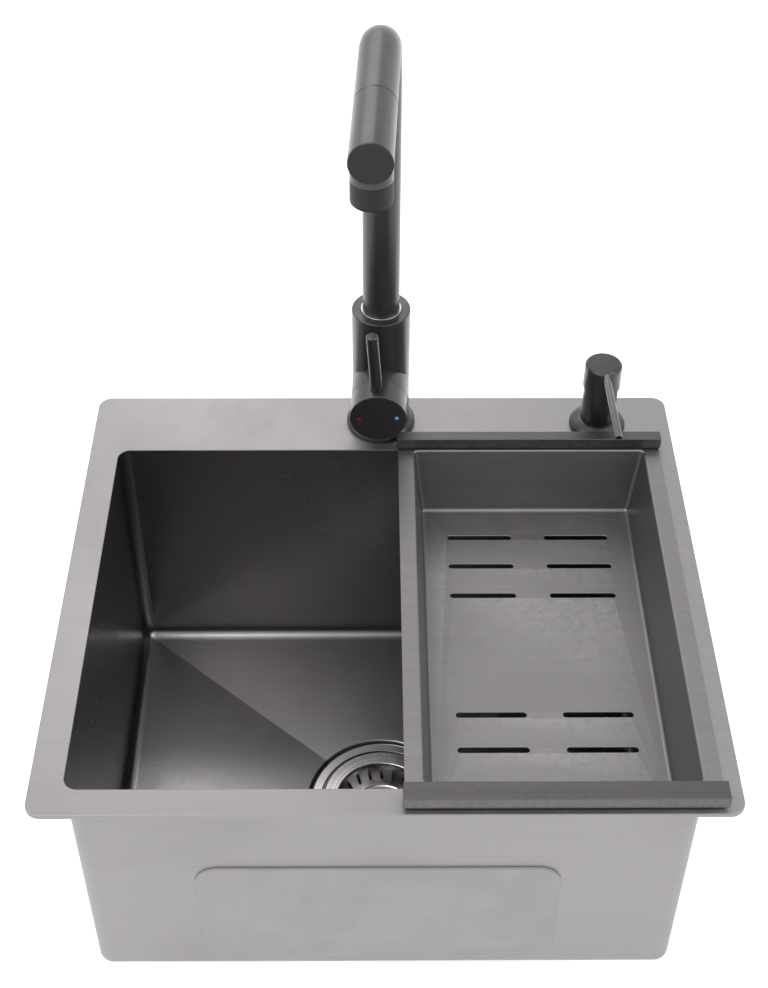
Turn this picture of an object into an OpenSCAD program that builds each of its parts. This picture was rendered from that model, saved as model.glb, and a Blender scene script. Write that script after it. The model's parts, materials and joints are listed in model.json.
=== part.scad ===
// Drop-in kitchen sink with a pull-out tap, a soap dispenser and a sliding drain tray.
// Millimetres. The origin is the centre of the rim plate's underside, +Z up,
// +Y towards the tap, so the rim plate lies at z 0 to rim_t and the bowl hangs below.

/* [Rim plate] */
// Width of the rim plate
rim_w = 450; // [446:1:480]
// Depth of the rim plate, front to back
rim_d = 400; // [396:1:430]
// Thickness of the rim plate
rim_t = 3; // [2:0.5:4]
// Corner radius of the rim plate
rim_corner_r = 10; // [7:1:16]
// Width of the sealing strip under the rim
seal_w = 4.5; // [3:0.1:4.6]
// Thickness of the sealing strip
seal_t = 1; // [0.5:0.1:1.5]
// Width of the rim on each side of the bowl
side_land = 22; // [20:0.5:26]
// Width of the rim in front of the bowl
front_land = 20.4; // [20:0.2:24]
// Depth of the deck behind the bowl
deck_land = 62.3; // [62:0.1:66]

/* [Bowl] */
// Depth from the rim's top to the underside of the floor at the walls
bowl_depth = 213; // [208:1:225]
// Sheet thickness of the bowl
bowl_t = 1.2; // [1:0.1:1.5]
// Inner radius of the bowl's corners and floor bends
bowl_r = 9; // [9:0.5:12]
// How far the floor falls to the drain
floor_fall = 3.5; // [2:0.5:6]
// How far the drain lies in front of the bowl's centre
drain_forward = 12.5; // [0:0.5:30]
// How far the drain lies left of the bowl's centre
drain_left = 1; // [0:1:6]

/* [Sound pads] */
// Thickness of each pad
pad_t = 2; // [1.5:0.25:2.5]
// Width of the front pad
front_pad_w = 246; // [200:1:260]
// How far the front pad sits left of the centre
front_pad_left = 4.5; // [0:0.5:6]
// Depth of the wall pads' top edge below the rim's top
pad_top = 87; // [70:1:90]
// Height of the wall pads
pad_h = 110; // [90:1:112]
// Corner radius of the pads
pad_r = 16; // [8:1:22]
// Width of the side pads
side_pad_w = 200; // [150:1:240]
// Width of the rear pad
rear_pad_w = 220; // [150:1:230]
// Width of each pad under the floor
floor_pad_w = 100; // [60:1:110]
// Length of each pad under the floor
floor_pad_d = 200; // [120:1:230]

/* [Strainer] */
// Outer radius of the strainer flange
flange_r = 55; // [53:0.5:56]
// Radius of the drain hole
drain_hole_r = 45; // [44.5:0.1:45.5]
// Depth of the recess that the flange sits in
recess_depth = 4; // [3.6:0.1:5]
// Sheet thickness of the strainer
strainer_t = 1.2; // [1:0.1:1.5]
// Depth of the strainer cup below its seat
cup_depth = 42; // [38:1:50]
// Outer radius of the outlet thread
outlet_r = 23.9; // [23:0.1:25]
// Length of the outlet thread
outlet_len = 18; // [14:1:24]
// Radius of the basket's rim
basket_r = 45.5; // [45:0.5:48]
// Depth of the basket below its rim
basket_depth = 17; // [14:1:22]
// Radius of the basket's floor
basket_floor_r = 26; // [24:0.5:28]
// Radius of the knob
knob_r = 10.5; // [8:0.5:12]
// Number of slots round the basket
basket_slots = 20; // [12:1:24]

/* [Drain tray] */
// Sheet thickness of the tray
tray_t = 1.2; // [1:0.1:1.5]
// Inside width of the tray
tray_w = 176.5; // [160:0.5:190]
// Depth of the tray's floor below the rim's top
tray_depth = 55; // [45:1:65]
// How far each wall leans in from top to floor
tray_lean = 6.5; // [4:0.5:9]
// Inner bend radius of the tray's floor
tray_bend_r = 3; // [2.5:0.25:4]
// Gap between the upright corners of the tray and the bowl
tray_corner_gap = 0.25; // [0.2:0.05:0.4]
// Gap between the tray and the bowl's front and rear walls
tray_gap = 2.3; // [1.5:0.1:3]
// Gap between the tray and the bowl's right wall
tray_side_gap = 1.05; // [0.8:0.05:1.5]
// Width of the tray's side flanges
tray_flange = 12.3; // [10:0.1:14]
// Length of the drain slots
slot_len = 49.4; // [40:0.2:54]
// Width of the drain slots
slot_w = 4.4; // [3:0.1:5]
// Distance between rows of slots
slot_pitch = 30.5; // [26:0.5:32]
// Distance between the tray's centre and the nearest row of slots
slot_first = 56.7; // [50:0.1:60]
// Distance between the two columns of slots
slot_column = 75; // [72:0.5:78]
// Height of the rails
rail_h = 10; // [8:0.5:12]
// Width of the front rail
front_rail_w = 13.9; // [12:0.1:15]
// Distance from the rim's front edge to the front rail
rail_setback = 2.8; // [2:0.1:4]
// How far the rails reach past the side flanges
rail_over = 1; // [0.5:0.1:2]
// Thickness of the silicone glide strips
glide_t = 0.8; // [0.6:0.1:1.2]

/* [Tap] */
// Distance from the rim's rear edge to the tap's axis
tap_back = 27.7; // [27.4:0.1:30]
// How far the tap stands left of the centre
tap_left = 1.2; // [0:0.1:4]
// Turn of the tap to the left, in degrees
tap_turn = 2.6; // [0:0.2:5]
// Radius of the deck hole for the tap
tap_hole_r = 17.5; // [17.4:0.1:18]
// Radius of the tap's base
tap_base_r = 26.5; // [26:0.1:27]
// Height of the tap's base
tap_base_h = 6.5; // [5:0.5:8]
// Radius of the tap's body
body_r = 21.7; // [21.5:0.1:22.2]
// Height of the body's top above the rim's top
body_top = 110.3; // [106:0.1:120]
// Radius of the handle housing
housing_r = 21.2; // [20.8:0.1:21.4]
// Distance from the tap's axis to the end of the handle cap
housing_reach = 52.3; // [52:0.1:56]
// Height of the housing's axis above the rim's top
housing_height = 47; // [46:0.5:50]
// Radius of the spherical seat under the handle cap
seat_r = 22.3; // [22.1:0.1:22.6]
// Radius of the pin lever
lever_r = 4.4; // [3.5:0.1:5]
// Distance from the housing's axis to the lever's tip
lever_reach = 71; // [60:1:80]
// Lean of the lever to the left, in degrees
lever_lean = 4; // [0:0.5:10]
// Radius of the cartridge
cartridge_r = 12.5; // [12:0.1:13]
// Outer radius of the spout tube
spout_r = 13.5; // [13.2:0.1:14]
// Wall of the spout tube
spout_t = 1.5; // [1.2:0.1:1.8]
// Height of the arm's axis above the rim's top
arm_height = 336.5; // [300:1:360]
// Radius of the spout's bend, to the tube's axis
bend_r = 37; // [34:0.5:42]
// Distance from the tap's axis to the joint of the spray head
head_start = 99.5; // [90:0.5:106]
// Distance from the tap's axis to the end of the spray head
spout_reach = 165.4; // [150:0.5:180]
// Radius of the outlet nozzle
nozzle_r = 13; // [12.6:0.1:13.2]
// Distance from the arm's axis to the nozzle's upper edge
nozzle_top = 17.5; // [16:0.5:20]
// Distance from the arm's axis to the nozzle's lower edge
nozzle_low = 33.3; // [30:0.1:38]
// Radius of the spray hose
hose_r = 4.8; // [4.4:0.1:4.9]
// Outer radius of the threaded shank
shank_r = 16.9; // [16.8:0.1:17.1]
// Length of the shank below the deck
shank_len = 42; // [36:1:50]
// Radius of the supply sockets, for an M8 fine thread
socket_r = 4; // [3.8:0.1:4]
// Distance from the tap's axis to each supply socket
socket_out = 11; // [10.9:0.05:11]
// Depth of the supply sockets
socket_len = 12; // [10:0.5:12]

/* [Soap dispenser] */
// Distance from the rim's right edge to the dispenser's axis
pump_side = 56.6; // [53:0.1:59]
// Distance from the rim's rear edge to the dispenser's axis
pump_back = 32; // [28:0.1:32]
// Radius of the deck hole for the dispenser
pump_hole_r = 14; // [13.8:0.1:14.5]
// Radius of the dispenser's flange
pump_flange_r = 21.7; // [20:0.1:22]
// Height of the dispenser's flange
pump_flange_h = 7; // [5:0.5:8]
// Outer radius of the collar
collar_r = 13.1; // [12.9:0.1:13.3]
// Height of the collar's top above the rim's top
collar_top = 40.4; // [38:0.2:42]
// Height of the pump head
head_h = 20.8; // [20:0.2:24]
// Stroke of the pump
pump_stroke = 14; // [12:0.5:14]
// Outer radius of the soap nozzle
soap_nozzle_r = 2.8; // [2.2:0.1:2.9]
// Distance from the dispenser's axis to the nozzle's tip
soap_reach = 70.2; // [50:0.2:80]
// Downward slope of the soap nozzle, in degrees
soap_slope = 10.5; // [4:0.5:14]
// Turn of the soap nozzle to the right, in degrees
soap_turn = 4; // [0:1:10]
// Radius of the pump stem
stem_r = 4; // [3.5:0.1:4.2]
// Inner radius of the pump barrel
barrel_r = 5.6; // [5.2:0.1:6]
// Radius of the soap bottle
bottle_r = 27; // [24:0.5:27]
// Height of the soap bottle
bottle_h = 148; // [140:1:170]

/* [Fits] */
// Radial clearance of parts that turn or slide in each other
run_clear = 0.05; // [0.03:0.01:0.08]
// Radial clearance of threads and parts that are pushed in
seat_clear = 0.1; // [0.05:0.01:0.15]
// Gap between a moving part and what it rests on
rest_gap = 0.2; // [0.1:0.05:0.3]
// Gap between the handle cap and its spherical seat
cap_gap = 0.4; // [0.3:0.05:0.5]

/* [Hidden] */
$fn = 64;
hull_fn = 32;
past = 1; // overshoot of a cutting tool beyond the face that it cuts

seal_inset = 1.5; // from the rim plate's edge to the sealing strip

// The bowl's opening and floor
open_x = rim_w / 2 - side_land;
open_front = -rim_d / 2 + front_land;
open_back = rim_d / 2 - deck_land;
open_mid = (open_front + open_back) / 2;
wall_x = open_x + bowl_t;
wall_front = open_front - bowl_t;
wall_back = open_back + bowl_t;
floor_z = rim_t - bowl_depth + bowl_t;
drain_floor_z = floor_z - floor_fall;
seat_z = drain_floor_z - recess_depth;
recess_r = flange_r + 2;

// The strainer, with heights measured from its seat in the floor
gasket_t = 1;
flange_top = gasket_t + strainer_t;
cup_r = drain_hole_r - 0.8;
cup_inner_r = cup_r - strainer_t;
basket_rim_z = flange_top + rest_gap;
washer_t = 3;
friction_t = 1;
nut_h = 12;
outlet_t = 3.4; // wall of the outlet thread
cup_bend = 6;
soft_edge = 0.5; // width of a softened edge
basket_t = 1.1;
basket_land = 10; // width of the basket's flat rim
basket_low_z = basket_rim_z - basket_depth;
basket_slot_w = 2.4;
basket_hole_r = 1.6;
knob_rise = 1.5; // height of the knob's top above the basket's rim
knob_foot_r = 8;
knob_neck_r = 4;
post_r = 4.8; // radius of the knob's post where it passes the basket's floor
stopper_r = outlet_r - 1.5;
stopper_h = 6;

// The tray
tray_inner_right = open_x - tray_side_gap - tray_t;
tray_inner_left = tray_inner_right - tray_w;
tray_inner_back = open_back - tray_gap - tray_t;
tray_inner_front = open_front + tray_gap + tray_t;
tray_x = (tray_inner_right + tray_inner_left) / 2;
tray_y = (tray_inner_back + tray_inner_front) / 2;
// The tray's corner circles lie inside the bowl's, so that the corner gap is left at the nearest point
corner_inset = tray_gap + tray_side_gap - tray_corner_gap
  + sqrt(2 * (tray_gap - tray_corner_gap) * (tray_side_gap - tray_corner_gap));
tray_corner_r = bowl_r - corner_inset - tray_t;
tray_floor_z = rim_t - tray_depth;
tray_flange_z = rim_t + rest_gap + glide_t;
tray_top_z = tray_flange_z + tray_t;
rail_left = tray_inner_left - tray_flange - rail_over;
rail_right = tray_inner_right + tray_flange + rail_over;
front_rail_y = -rim_d / 2 + rail_setback;
rear_rail_front = tray_inner_back + tray_t + 0.5;
rear_rail_back = rim_d / 2 - tap_back - tap_base_r - 0.5;
rail_t = 1.2;
rail_lip = 1.2; // how far the rails overhang the flange and the glides

// The tap
tap_x = -tap_left;
tap_y = rim_d / 2 - tap_back;
tap_gasket_t = 0.8;
base_z = rim_t + tap_gasket_t;
body_z = base_z + tap_base_h;
body_top_z = rim_t + body_top;
housing_z = rim_t + housing_height;
cap_wall = 4.7; // thickness of the handle cap's front wall over its hollow
hollow_r = seat_r + cap_gap;
pivot = housing_reach - hollow_r - cap_wall; // distance from the tap's axis to the stem's pivot
seat_front = 14; // how far the spherical seat reaches in front of the pivot
cartridge_back = 15.4;
cartridge_front = 8;
carrier_r = cartridge_r - 3.6;
stem_rod_r = 3.5;
pin_r = 1.5;
cartridge_nut_r = 15.1;
nut_hole_r = 9.6;
arm_z = rim_t + arm_height;
spout_inner_r = spout_r - spout_t;
spout_foot_z = body_top_z - 27;
bush_r = spout_r + 1.7;
bush_bore_r = bush_r + seat_clear;
spigot_len = 12;
sleeve_inner_r = spout_inner_r - 1.4;
end_cap_t = 1.5;
shank_inner_r = shank_r - 1.7;
shank_top = body_z + 8;
shank_end_z = -shank_len;
duct_r = hose_r + 0.5;
clamp_r = 21; // radius of the washer, clamp and nut under the deck
clamp_washer_h = 3;
clamp_h = 2;
shank_nut_h = 10;
disc_z = -12; // seat of the fixed disc, from the stem's pivot
disc_h = 3;
carrier_z = -6;
carrier_h = 11.4;

// The dispenser
pump_x = rim_w / 2 - pump_side;
pump_y = rim_d / 2 - pump_back;
pump_washer_t = 0.8;
under_washer_h = 3;
pump_nut_r = 18;
pump_nut_h = 8;
collar_z = rim_t + collar_top;
collar_inner_r = collar_r - 1.4;
head_inner_r = collar_r + 0.25;
head_z = collar_z - 0.2;
head_top_z = head_z + head_h;
head_roof_z = collar_z + pump_stroke + 0.3;
head_r = head_inner_r + 0.9;
nozzle_root_r = 11;
boss_r = 7;
dip_r = 2; // outer radius of the dip tube
boss_z = head_roof_z - 9;
barrel_len = 105;
barrel_top_z = boss_z - pump_stroke - 4;
barrel_end_z = barrel_top_z - barrel_len;
piston_drop = 56; // from the barrel's top to the piston's underside
piston_z = barrel_top_z - piston_drop;
barrel_wall = 1.2;
spring_wire_r = 0.5;
spring_turns = 9;
spring_gap = 0.5; // gap between the spring and the barrel
piston_h = 5;
barrel_lip = 1.5; // thickness of the barrel's flange, its cap and its end
ledge_t = 2; // thickness of the ledge that the barrel hangs from
bottle_top_z = -14;
bottle_t = 1.5;
shoulder_drop = 14; // from the collar's lower end to the bottle's shoulder
pump_shank_end_z = -36;

// A rectangle with rounded corners, centred on the origin
module rounded_rect(w, d, r) {
  square([w - 2 * r, d], center = true);
  square([w, d - 2 * r], center = true);
  for (x = [-1, 1], y = [-1, 1]) translate([x * (w / 2 - r), y * (d / 2 - r)]) circle(r);
}

// A slot with round ends, along X
module slot_outline(length, width) {
  square([length - width, width], center = true);
  for (end = [-1, 1]) translate([end * (length - width) / 2, 0]) circle(width / 2);
}

module at_tap() translate([tap_x, tap_y, 0]) rotate([0, 0, -tap_turn]) children();
module at_pump() translate([pump_x, pump_y, 0]) children();
module at_drain() translate([-drain_left, open_mid - drain_forward, seat_z]) children();

// Puts children at the stem's pivot, with +Z pointing out of the handle cap
module at_pivot() at_tap() translate([0, -pivot, housing_z]) rotate([90, 0, 0]) children();

// As at_pivot, with +Y leaning the way the lever leans
module at_lever() at_pivot() rotate([0, 0, lever_lean]) children();

// A ring between two radii
module ring(outer, inner, z0, z1) {
  difference() {
    translate([0, 0, z0]) cylinder(h = z1 - z0, r = outer);
    translate([0, 0, z0 - past]) cylinder(h = z1 - z0 + 2 * past, r = inner);
  }
}

// The space inside the bowl, grown by the sheet for its outside
module bowl_space(grow, top) {
  r = bowl_r + grow;
  hull() {
    for (x = [-1, 1] * (open_x - bowl_r), y = [open_front + bowl_r, open_back - bowl_r]) {
      translate([x, y, floor_z + bowl_r]) sphere(r, $fn = hull_fn);
      translate([x, y, floor_z + bowl_r]) cylinder(h = top - floor_z - bowl_r, r = r, $fn = hull_fn);
    }
    at_drain() translate([0, 0, recess_depth - grow]) cylinder(h = 1, r = recess_r + 1, $fn = hull_fn);
  }
}

module deck_plate() {
  color("#a8a8aa") difference() {
    linear_extrude(rim_t) difference() {
      rounded_rect(rim_w, rim_d, rim_corner_r);
      translate([0, open_mid]) rounded_rect(2 * open_x, open_back - open_front, bowl_r);
    }
    translate([tap_x, tap_y, -past]) cylinder(h = rim_t + 2 * past, r = tap_hole_r);
    translate([pump_x, pump_y, -past]) cylinder(h = rim_t + 2 * past, r = pump_hole_r);
  }
}

// The strip that the sink rests on, round the worktop's cut-out
module rim_seal() {
  inner = seal_inset + seal_w;
  color("#2b2b2d") translate([0, 0, -seal_t]) linear_extrude(seal_t) difference() {
    rounded_rect(rim_w - 2 * seal_inset, rim_d - 2 * seal_inset, rim_corner_r - seal_inset);
    rounded_rect(rim_w - 2 * inner, rim_d - 2 * inner, rim_corner_r - inner);
  }
}

module bowl() {
  color("#4a484b") difference() {
    union() {
      bowl_space(bowl_t, 0);
      at_drain() translate([0, 0, -bowl_t]) cylinder(h = recess_depth + bowl_t, r = recess_r + bowl_t);
    }
    bowl_space(0, past);
    at_drain() cylinder(h = recess_depth + past, r = recess_r);
    at_drain() translate([0, 0, -bowl_t - past]) cylinder(h = recess_depth, r = drain_hole_r);
  }
}

// A pad that stands against a wall, its back on the plane y = 0
module wall_pad(w) {
  translate([0, 0, rim_t - pad_top - pad_h / 2]) rotate([90, 0, 0])
    linear_extrude(pad_t) rounded_rect(w, pad_h, pad_r);
}

module front_sound_pad() {
  color("#a3a3a5") translate([-front_pad_left, wall_front, 0]) wall_pad(front_pad_w);
}

module side_sound_pads() {
  color("#8a8a8c") for (side = [-1, 1])
    translate([side * wall_x, open_mid, 0]) rotate([0, 0, side * 90]) wall_pad(side_pad_w);
}

module rear_sound_pad() {
  color("#8a8a8c") translate([0, wall_back, 0]) rotate([0, 0, 180]) wall_pad(rear_pad_w);
}

module floor_sound_pads() {
  pad_x = (recess_r + 8 + wall_x - bowl_r) / 2;
  color("#8a8a8c") difference() {
    for (side = [-1, 1]) translate([side * pad_x, open_mid, drain_floor_z - bowl_t - pad_t])
      linear_extrude(floor_fall + pad_t) rounded_rect(floor_pad_w, floor_pad_d, pad_r);
    bowl_space(bowl_t, 0);
  }
}

module strainer_body() {
  low = -cup_depth;
  bend = cup_bend + soft_edge;
  color("#d8d8da") at_drain() rotate_extrude() polygon([
    [outlet_r - outlet_t, low - outlet_len], [outlet_r, low - outlet_len], [outlet_r, low],
    [cup_r - cup_bend, low], [cup_r, low + cup_bend], [cup_r, gasket_t], [flange_r, gasket_t],
    [flange_r, flange_top - soft_edge], [flange_r - soft_edge, flange_top], [cup_inner_r, flange_top],
    [cup_inner_r, low + bend], [cup_r - bend, low + strainer_t], [outlet_r - outlet_t, low + strainer_t],
  ]);
}

module strainer_gasket() {
  color("#2b2b2d") at_drain() ring(flange_r - 0.5, drain_hole_r + 1, 0, gasket_t);
}

module strainer_washer() {
  color("#2b2b2d") at_drain() ring(drain_hole_r + 11, cup_r + seat_clear, -bowl_t - washer_t, -bowl_t);
}

module friction_ring() {
  z = -bowl_t - washer_t - friction_t;
  color("#c9bfa8") at_drain() ring(drain_hole_r + 10, cup_r + seat_clear, z, z + friction_t);
}

module strainer_locknut() {
  top = -bowl_t - washer_t - friction_t;
  color("#8f8f92") at_drain() difference() {
    union() {
      translate([0, 0, top - nut_h]) cylinder(h = nut_h, r = drain_hole_r + 6);
      translate([0, 0, top - 3]) cylinder(h = 3, r = drain_hole_r + 10);
      for (turn = [20 : 45 : 335]) rotate([0, 0, turn]) translate([drain_hole_r + 4, -3, top - nut_h])
        cube([5, 6, nut_h]);
    }
    translate([0, 0, top - nut_h - past]) cylinder(h = nut_h + 2 * past, r = cup_r + seat_clear);
  }
}

module strainer_basket() {
  slope_r = basket_r - basket_land;
  slope = atan2(basket_depth, slope_r - basket_floor_r);
  rim = basket_rim_z + basket_t;
  color("#dededf") at_drain() difference() {
    rotate_extrude() polygon([
      [post_r + seat_clear, basket_low_z], [basket_floor_r, basket_low_z], [slope_r, basket_rim_z],
      [basket_r, basket_rim_z], [basket_r, rim - soft_edge], [basket_r - soft_edge, rim],
      [slope_r - soft_edge, rim], [basket_floor_r - soft_edge, basket_low_z + basket_t],
      [post_r + seat_clear, basket_low_z + basket_t],
    ]);
    for (i = [0 : basket_slots - 1]) rotate([0, 0, i * 360 / basket_slots])
      translate([(slope_r + basket_floor_r) / 2, 0, basket_rim_z - basket_depth / 2])
        rotate([0, -slope, 0]) cube([basket_depth * 0.8, basket_slot_w, 8], center = true);
    for (row = [[12, basket_floor_r - 6], [6, basket_floor_r - 12]]) for (i = [0 : row[0] - 1])
      rotate([0, 0, (i + 0.5) * 360 / row[0]]) translate([row[1], 0, basket_low_z - past])
        cylinder(h = basket_t + 2 * past, r = basket_hole_r);
  }
}

// The knob and its post, clamped over the basket's floor
module basket_knob() {
  floor = basket_low_z + basket_t;
  top = basket_rim_z + knob_rise;
  tip = basket_low_z - stopper_h - 3;
  color("#e6e6e8") at_drain() rotate_extrude() polygon([
    [0, tip], [post_r - 2, tip], [post_r - 2, tip + 2], [post_r, tip + 2], [post_r, floor],
    [knob_foot_r, floor], [knob_foot_r, floor + 1], [knob_neck_r, floor + 3], [knob_neck_r, top - 6],
    [knob_r - 0.8, top - 5], [knob_r, top - 4], [knob_r - 0.6, top - 2.4], [knob_r - 3, top - 1],
    [knob_r - 6, top - 0.2], [2, top], [0, top],
  ]);
}

module basket_stopper() {
  low = basket_low_z - stopper_h;
  color("#262628") at_drain() rotate_extrude() polygon([
    [post_r, low], [stopper_r - 3.5, low], [stopper_r, low + 3], [stopper_r, basket_low_z - 1],
    [stopper_r - 3.5, basket_low_z], [post_r, basket_low_z],
  ]);
}

// The space inside the tray, grown by the sheet for its outside
module tray_space(grow, top) {
  half_w = tray_w / 2;
  half_d = (tray_inner_back - tray_inner_front) / 2;
  low = tray_bend_r + tray_lean;
  hull() for (sx = [-1, 1], sy = [-1, 1]) {
    translate([tray_x + sx * (half_w - tray_corner_r), tray_y + sy * (half_d - tray_corner_r), tray_flange_z])
      cylinder(h = top - tray_flange_z, r = tray_corner_r + grow, $fn = hull_fn);
    translate([tray_x + sx * (half_w - low), tray_y + sy * (half_d - low), tray_floor_z + tray_bend_r])
      sphere(tray_bend_r + grow, $fn = hull_fn);
  }
}

module tray_pan() {
  flange_front = front_rail_y + rail_lip;
  flange_back = rear_rail_back - rail_lip;
  color("#7d7b7e") difference() {
    union() {
      tray_space(tray_t, tray_flange_z + tray_t / 2);
      translate([rail_left + rail_over, flange_front, tray_flange_z])
        cube([rail_right - rail_left - 2 * rail_over, flange_back - flange_front, tray_t]);
    }
    tray_space(0, tray_top_z + past);
    for (side = [-1, 1], end = [-1, 1], row = [0 : 2])
      translate([tray_x + side * slot_column / 2, tray_y + end * (slot_first + row * slot_pitch),
                 tray_floor_z - tray_t - past])
        linear_extrude(tray_t + 2 * past) slot_outline(slot_len, slot_w);
  }
}

// A folded channel, open below, that caps the tray's flange
module rail(y0, y1) {
  difference() {
    translate([rail_left, y0, tray_top_z]) cube([rail_right - rail_left, y1 - y0, rail_h]);
    translate([rail_left + rail_t, y0 + rail_t, tray_top_z - past])
      cube([rail_right - rail_left - 2 * rail_t, y1 - y0 - 2 * rail_t, rail_h - rail_t + past]);
  }
}

module tray_front_rail() color("#6d6b6e") rail(front_rail_y, front_rail_y + front_rail_w);
module tray_rear_rail() color("#6d6b6e") rail(rear_rail_front, rear_rail_back);

module tray_glides() {
  length = rail_right - rail_left - 2 * rail_over - 4;
  z = rim_t + rest_gap;
  color("#1f1f21") {
    translate([rail_left + rail_over + 2, front_rail_y + rail_lip + 1, z])
      cube([length, front_rail_w - 4, glide_t]);
    translate([rail_left + rail_over + 2, open_back + 1.5, z])
      cube([length, rear_rail_back - rail_lip - 1 - open_back - 1.5, glide_t]);
  }
}

module tap_gasket() {
  color("#232325") at_tap() ring(tap_base_r - 1, shank_r + seat_clear, rim_t, base_z);
}

module tap_base() {
  color("#333234") at_tap() rotate_extrude() polygon([
    [shank_r + seat_clear, base_z], [tap_base_r, base_z], [tap_base_r, base_z + 2],
    [tap_base_r - 0.8, base_z + 3.4], [tap_base_r - 2.4, base_z + tap_base_h - 1.4],
    [tap_base_r - 3.6, body_z], [shank_r + seat_clear, body_z],
  ]);
}

// The cylinder that carries the handle, from the tap's axis to z1 in front of the pivot
module housing(r, z1) at_pivot() translate([0, 0, -pivot]) cylinder(h = pivot + z1, r = r);

module tap_body() {
  seat_start = sqrt(seat_r * seat_r - housing_r * housing_r);
  color("#333234") difference() {
    union() {
      at_tap() translate([0, 0, body_z]) cylinder(h = body_top_z - body_z, r = body_r);
      housing(housing_r, seat_start - 0.5);
      intersection() {
        housing(housing_r, seat_front);
        at_pivot() sphere(seat_r);
      }
    }
    at_pivot() translate([0, 0, -cartridge_back])
      cylinder(h = cartridge_back + seat_r, r = cartridge_r + seat_clear);
    at_pivot() translate([0, 0, cartridge_front]) cylinder(h = seat_r, r = cartridge_nut_r + seat_clear);
    at_tap() {
      translate([0, 0, body_z - past]) cylinder(h = body_top_z, r = duct_r);
      translate([0, 0, spout_foot_z - 1]) cylinder(h = body_top_z, r = bush_bore_r);
      translate([0, 0, body_z - past]) cylinder(h = shank_top - body_z + past, r = shank_r + seat_clear);
      for (side = [-1, 1]) translate([side * socket_out, 0, shank_top - past])
        cylinder(h = socket_len + past, r = socket_r);
    }
  }
}

module tap_shank() color("#b08d4f") at_tap() ring(shank_r, shank_inner_r, shank_end_z, shank_top);
module shank_washer() color("#232325") at_tap() ring(clamp_r, shank_r + seat_clear, -clamp_washer_h, 0);

module shank_clamp() {
  top = -clamp_washer_h;
  color("#b5b5b8") at_tap() ring(clamp_r, shank_r + seat_clear, top - clamp_h, top);
}

module shank_nut() {
  low = -clamp_washer_h - clamp_h - shank_nut_h;
  color("#b08d4f") at_tap() difference() {
    translate([0, 0, low]) cylinder(h = shank_nut_h, r = clamp_r, $fn = 6);
    translate([0, 0, low - past]) cylinder(h = shank_nut_h + 2 * past, r = shank_r + seat_clear);
  }
}

module cartridge_body() {
  color("#e3e1da") at_pivot() difference() {
    translate([0, 0, -cartridge_back]) cylinder(h = cartridge_back + cartridge_front, r = cartridge_r);
    translate([0, 0, disc_z])
      cylinder(h = carrier_z + carrier_h - disc_z + rest_gap, r = carrier_r + run_clear);
    cylinder(h = cartridge_front + past, r = carrier_r - 1.5);
  }
}

module fixed_disc() color("#f2f1ec") at_pivot() ring(carrier_r, 2, disc_z, disc_z + disc_h);
module moving_disc() color("#f2f1ec") at_pivot() ring(carrier_r - 1, 2, disc_z + disc_h, carrier_z - 0.1);

module cartridge_nut() {
  color("#b08d4f") at_pivot() ring(cartridge_nut_r, nut_hole_r, cartridge_front, seat_front - 0.5);
}

// The fork that turns with the handle and holds the stem's pin
module cartridge_carrier() {
  color("#cfccc2") at_lever() difference() {
    translate([0, 0, carrier_z]) cylinder(h = carrier_h, r = carrier_r);
    translate([-stem_rod_r - seat_clear, -carrier_r - past, carrier_z + 2])
      cube([2 * (stem_rod_r + seat_clear), 2 * (carrier_r + past), carrier_h]);
    rotate([0, 90, 0]) translate([0, 0, -carrier_r - past])
      cylinder(h = 2 * (carrier_r + past), r = pin_r + 0.02);
  }
}

module stem_pin() {
  color("#c7c7ca") at_lever() rotate([0, 90, 0]) translate([0, 0, 0.3 - carrier_r])
    cylinder(h = 2 * carrier_r - 0.6, r = pin_r);
}

module cartridge_stem() {
  color("#c7c7ca") at_lever() difference() {
    translate([0, 0, -3]) cylinder(h = hollow_r + 5.8, r = stem_rod_r);
    rotate([0, 90, 0]) translate([0, 0, -15]) cylinder(h = 30, r = pin_r + run_clear);
  }
}

lever_z = hollow_r - 4.7; // the lever's place along the housing, in front of the pivot
screw_z = hollow_r + 1.9;

module handle_cap() {
  rear = sqrt(hollow_r * hollow_r - housing_r * housing_r) - 0.5;
  front = hollow_r + cap_wall;
  color("#333234") at_lever() difference() {
    translate([0, 0, rear]) cylinder(h = front - rear, r = housing_r);
    sphere(hollow_r);
    cylinder(h = hollow_r + 2.9, r = stem_rod_r + seat_clear);
    translate([0, 0, lever_z]) rotate([-90, 0, 0]) cylinder(h = 40, r = lever_r + seat_clear);
    translate([0, 0, screw_z]) rotate([90, 0, 0]) cylinder(h = 40, r = 1.6);
    for (side = [-1, 1]) translate([side * housing_r * 0.66, 0, front - 0.6]) cylinder(h = 2, r = 1.7);
  }
}

module pin_lever() {
  color("#333234") at_lever() difference() {
    translate([0, 0, lever_z]) rotate([-90, 0, 0]) union() {
      cylinder(h = lever_reach - 1, r = lever_r);
      translate([0, 0, lever_reach - 1]) cylinder(h = 1, r1 = lever_r, r2 = lever_r - 1);
    }
    sphere(hollow_r);
  }
}

module cap_screw() {
  color("#8f8f92") at_lever() translate([0, 0, screw_z]) rotate([90, 0, 0])
    translate([0, 0, stem_rod_r]) cylinder(h = 8, r = 1.5);
}

// A coloured dot let into the handle cap's face
module mark(side) {
  at_lever() translate([side * housing_r * 0.66, 0, hollow_r + cap_wall - 0.6]) cylinder(h = 0.6, r = 1.6);
}

module hot_mark() color("#b3262d") mark(-1);
module cold_mark() color("#2f8fc4") mark(1);

module spout_bush() {
  color("#dcdcde") at_tap() ring(bush_r, spout_r + run_clear, body_top_z - 12, body_top_z + 0.7);
}

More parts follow.
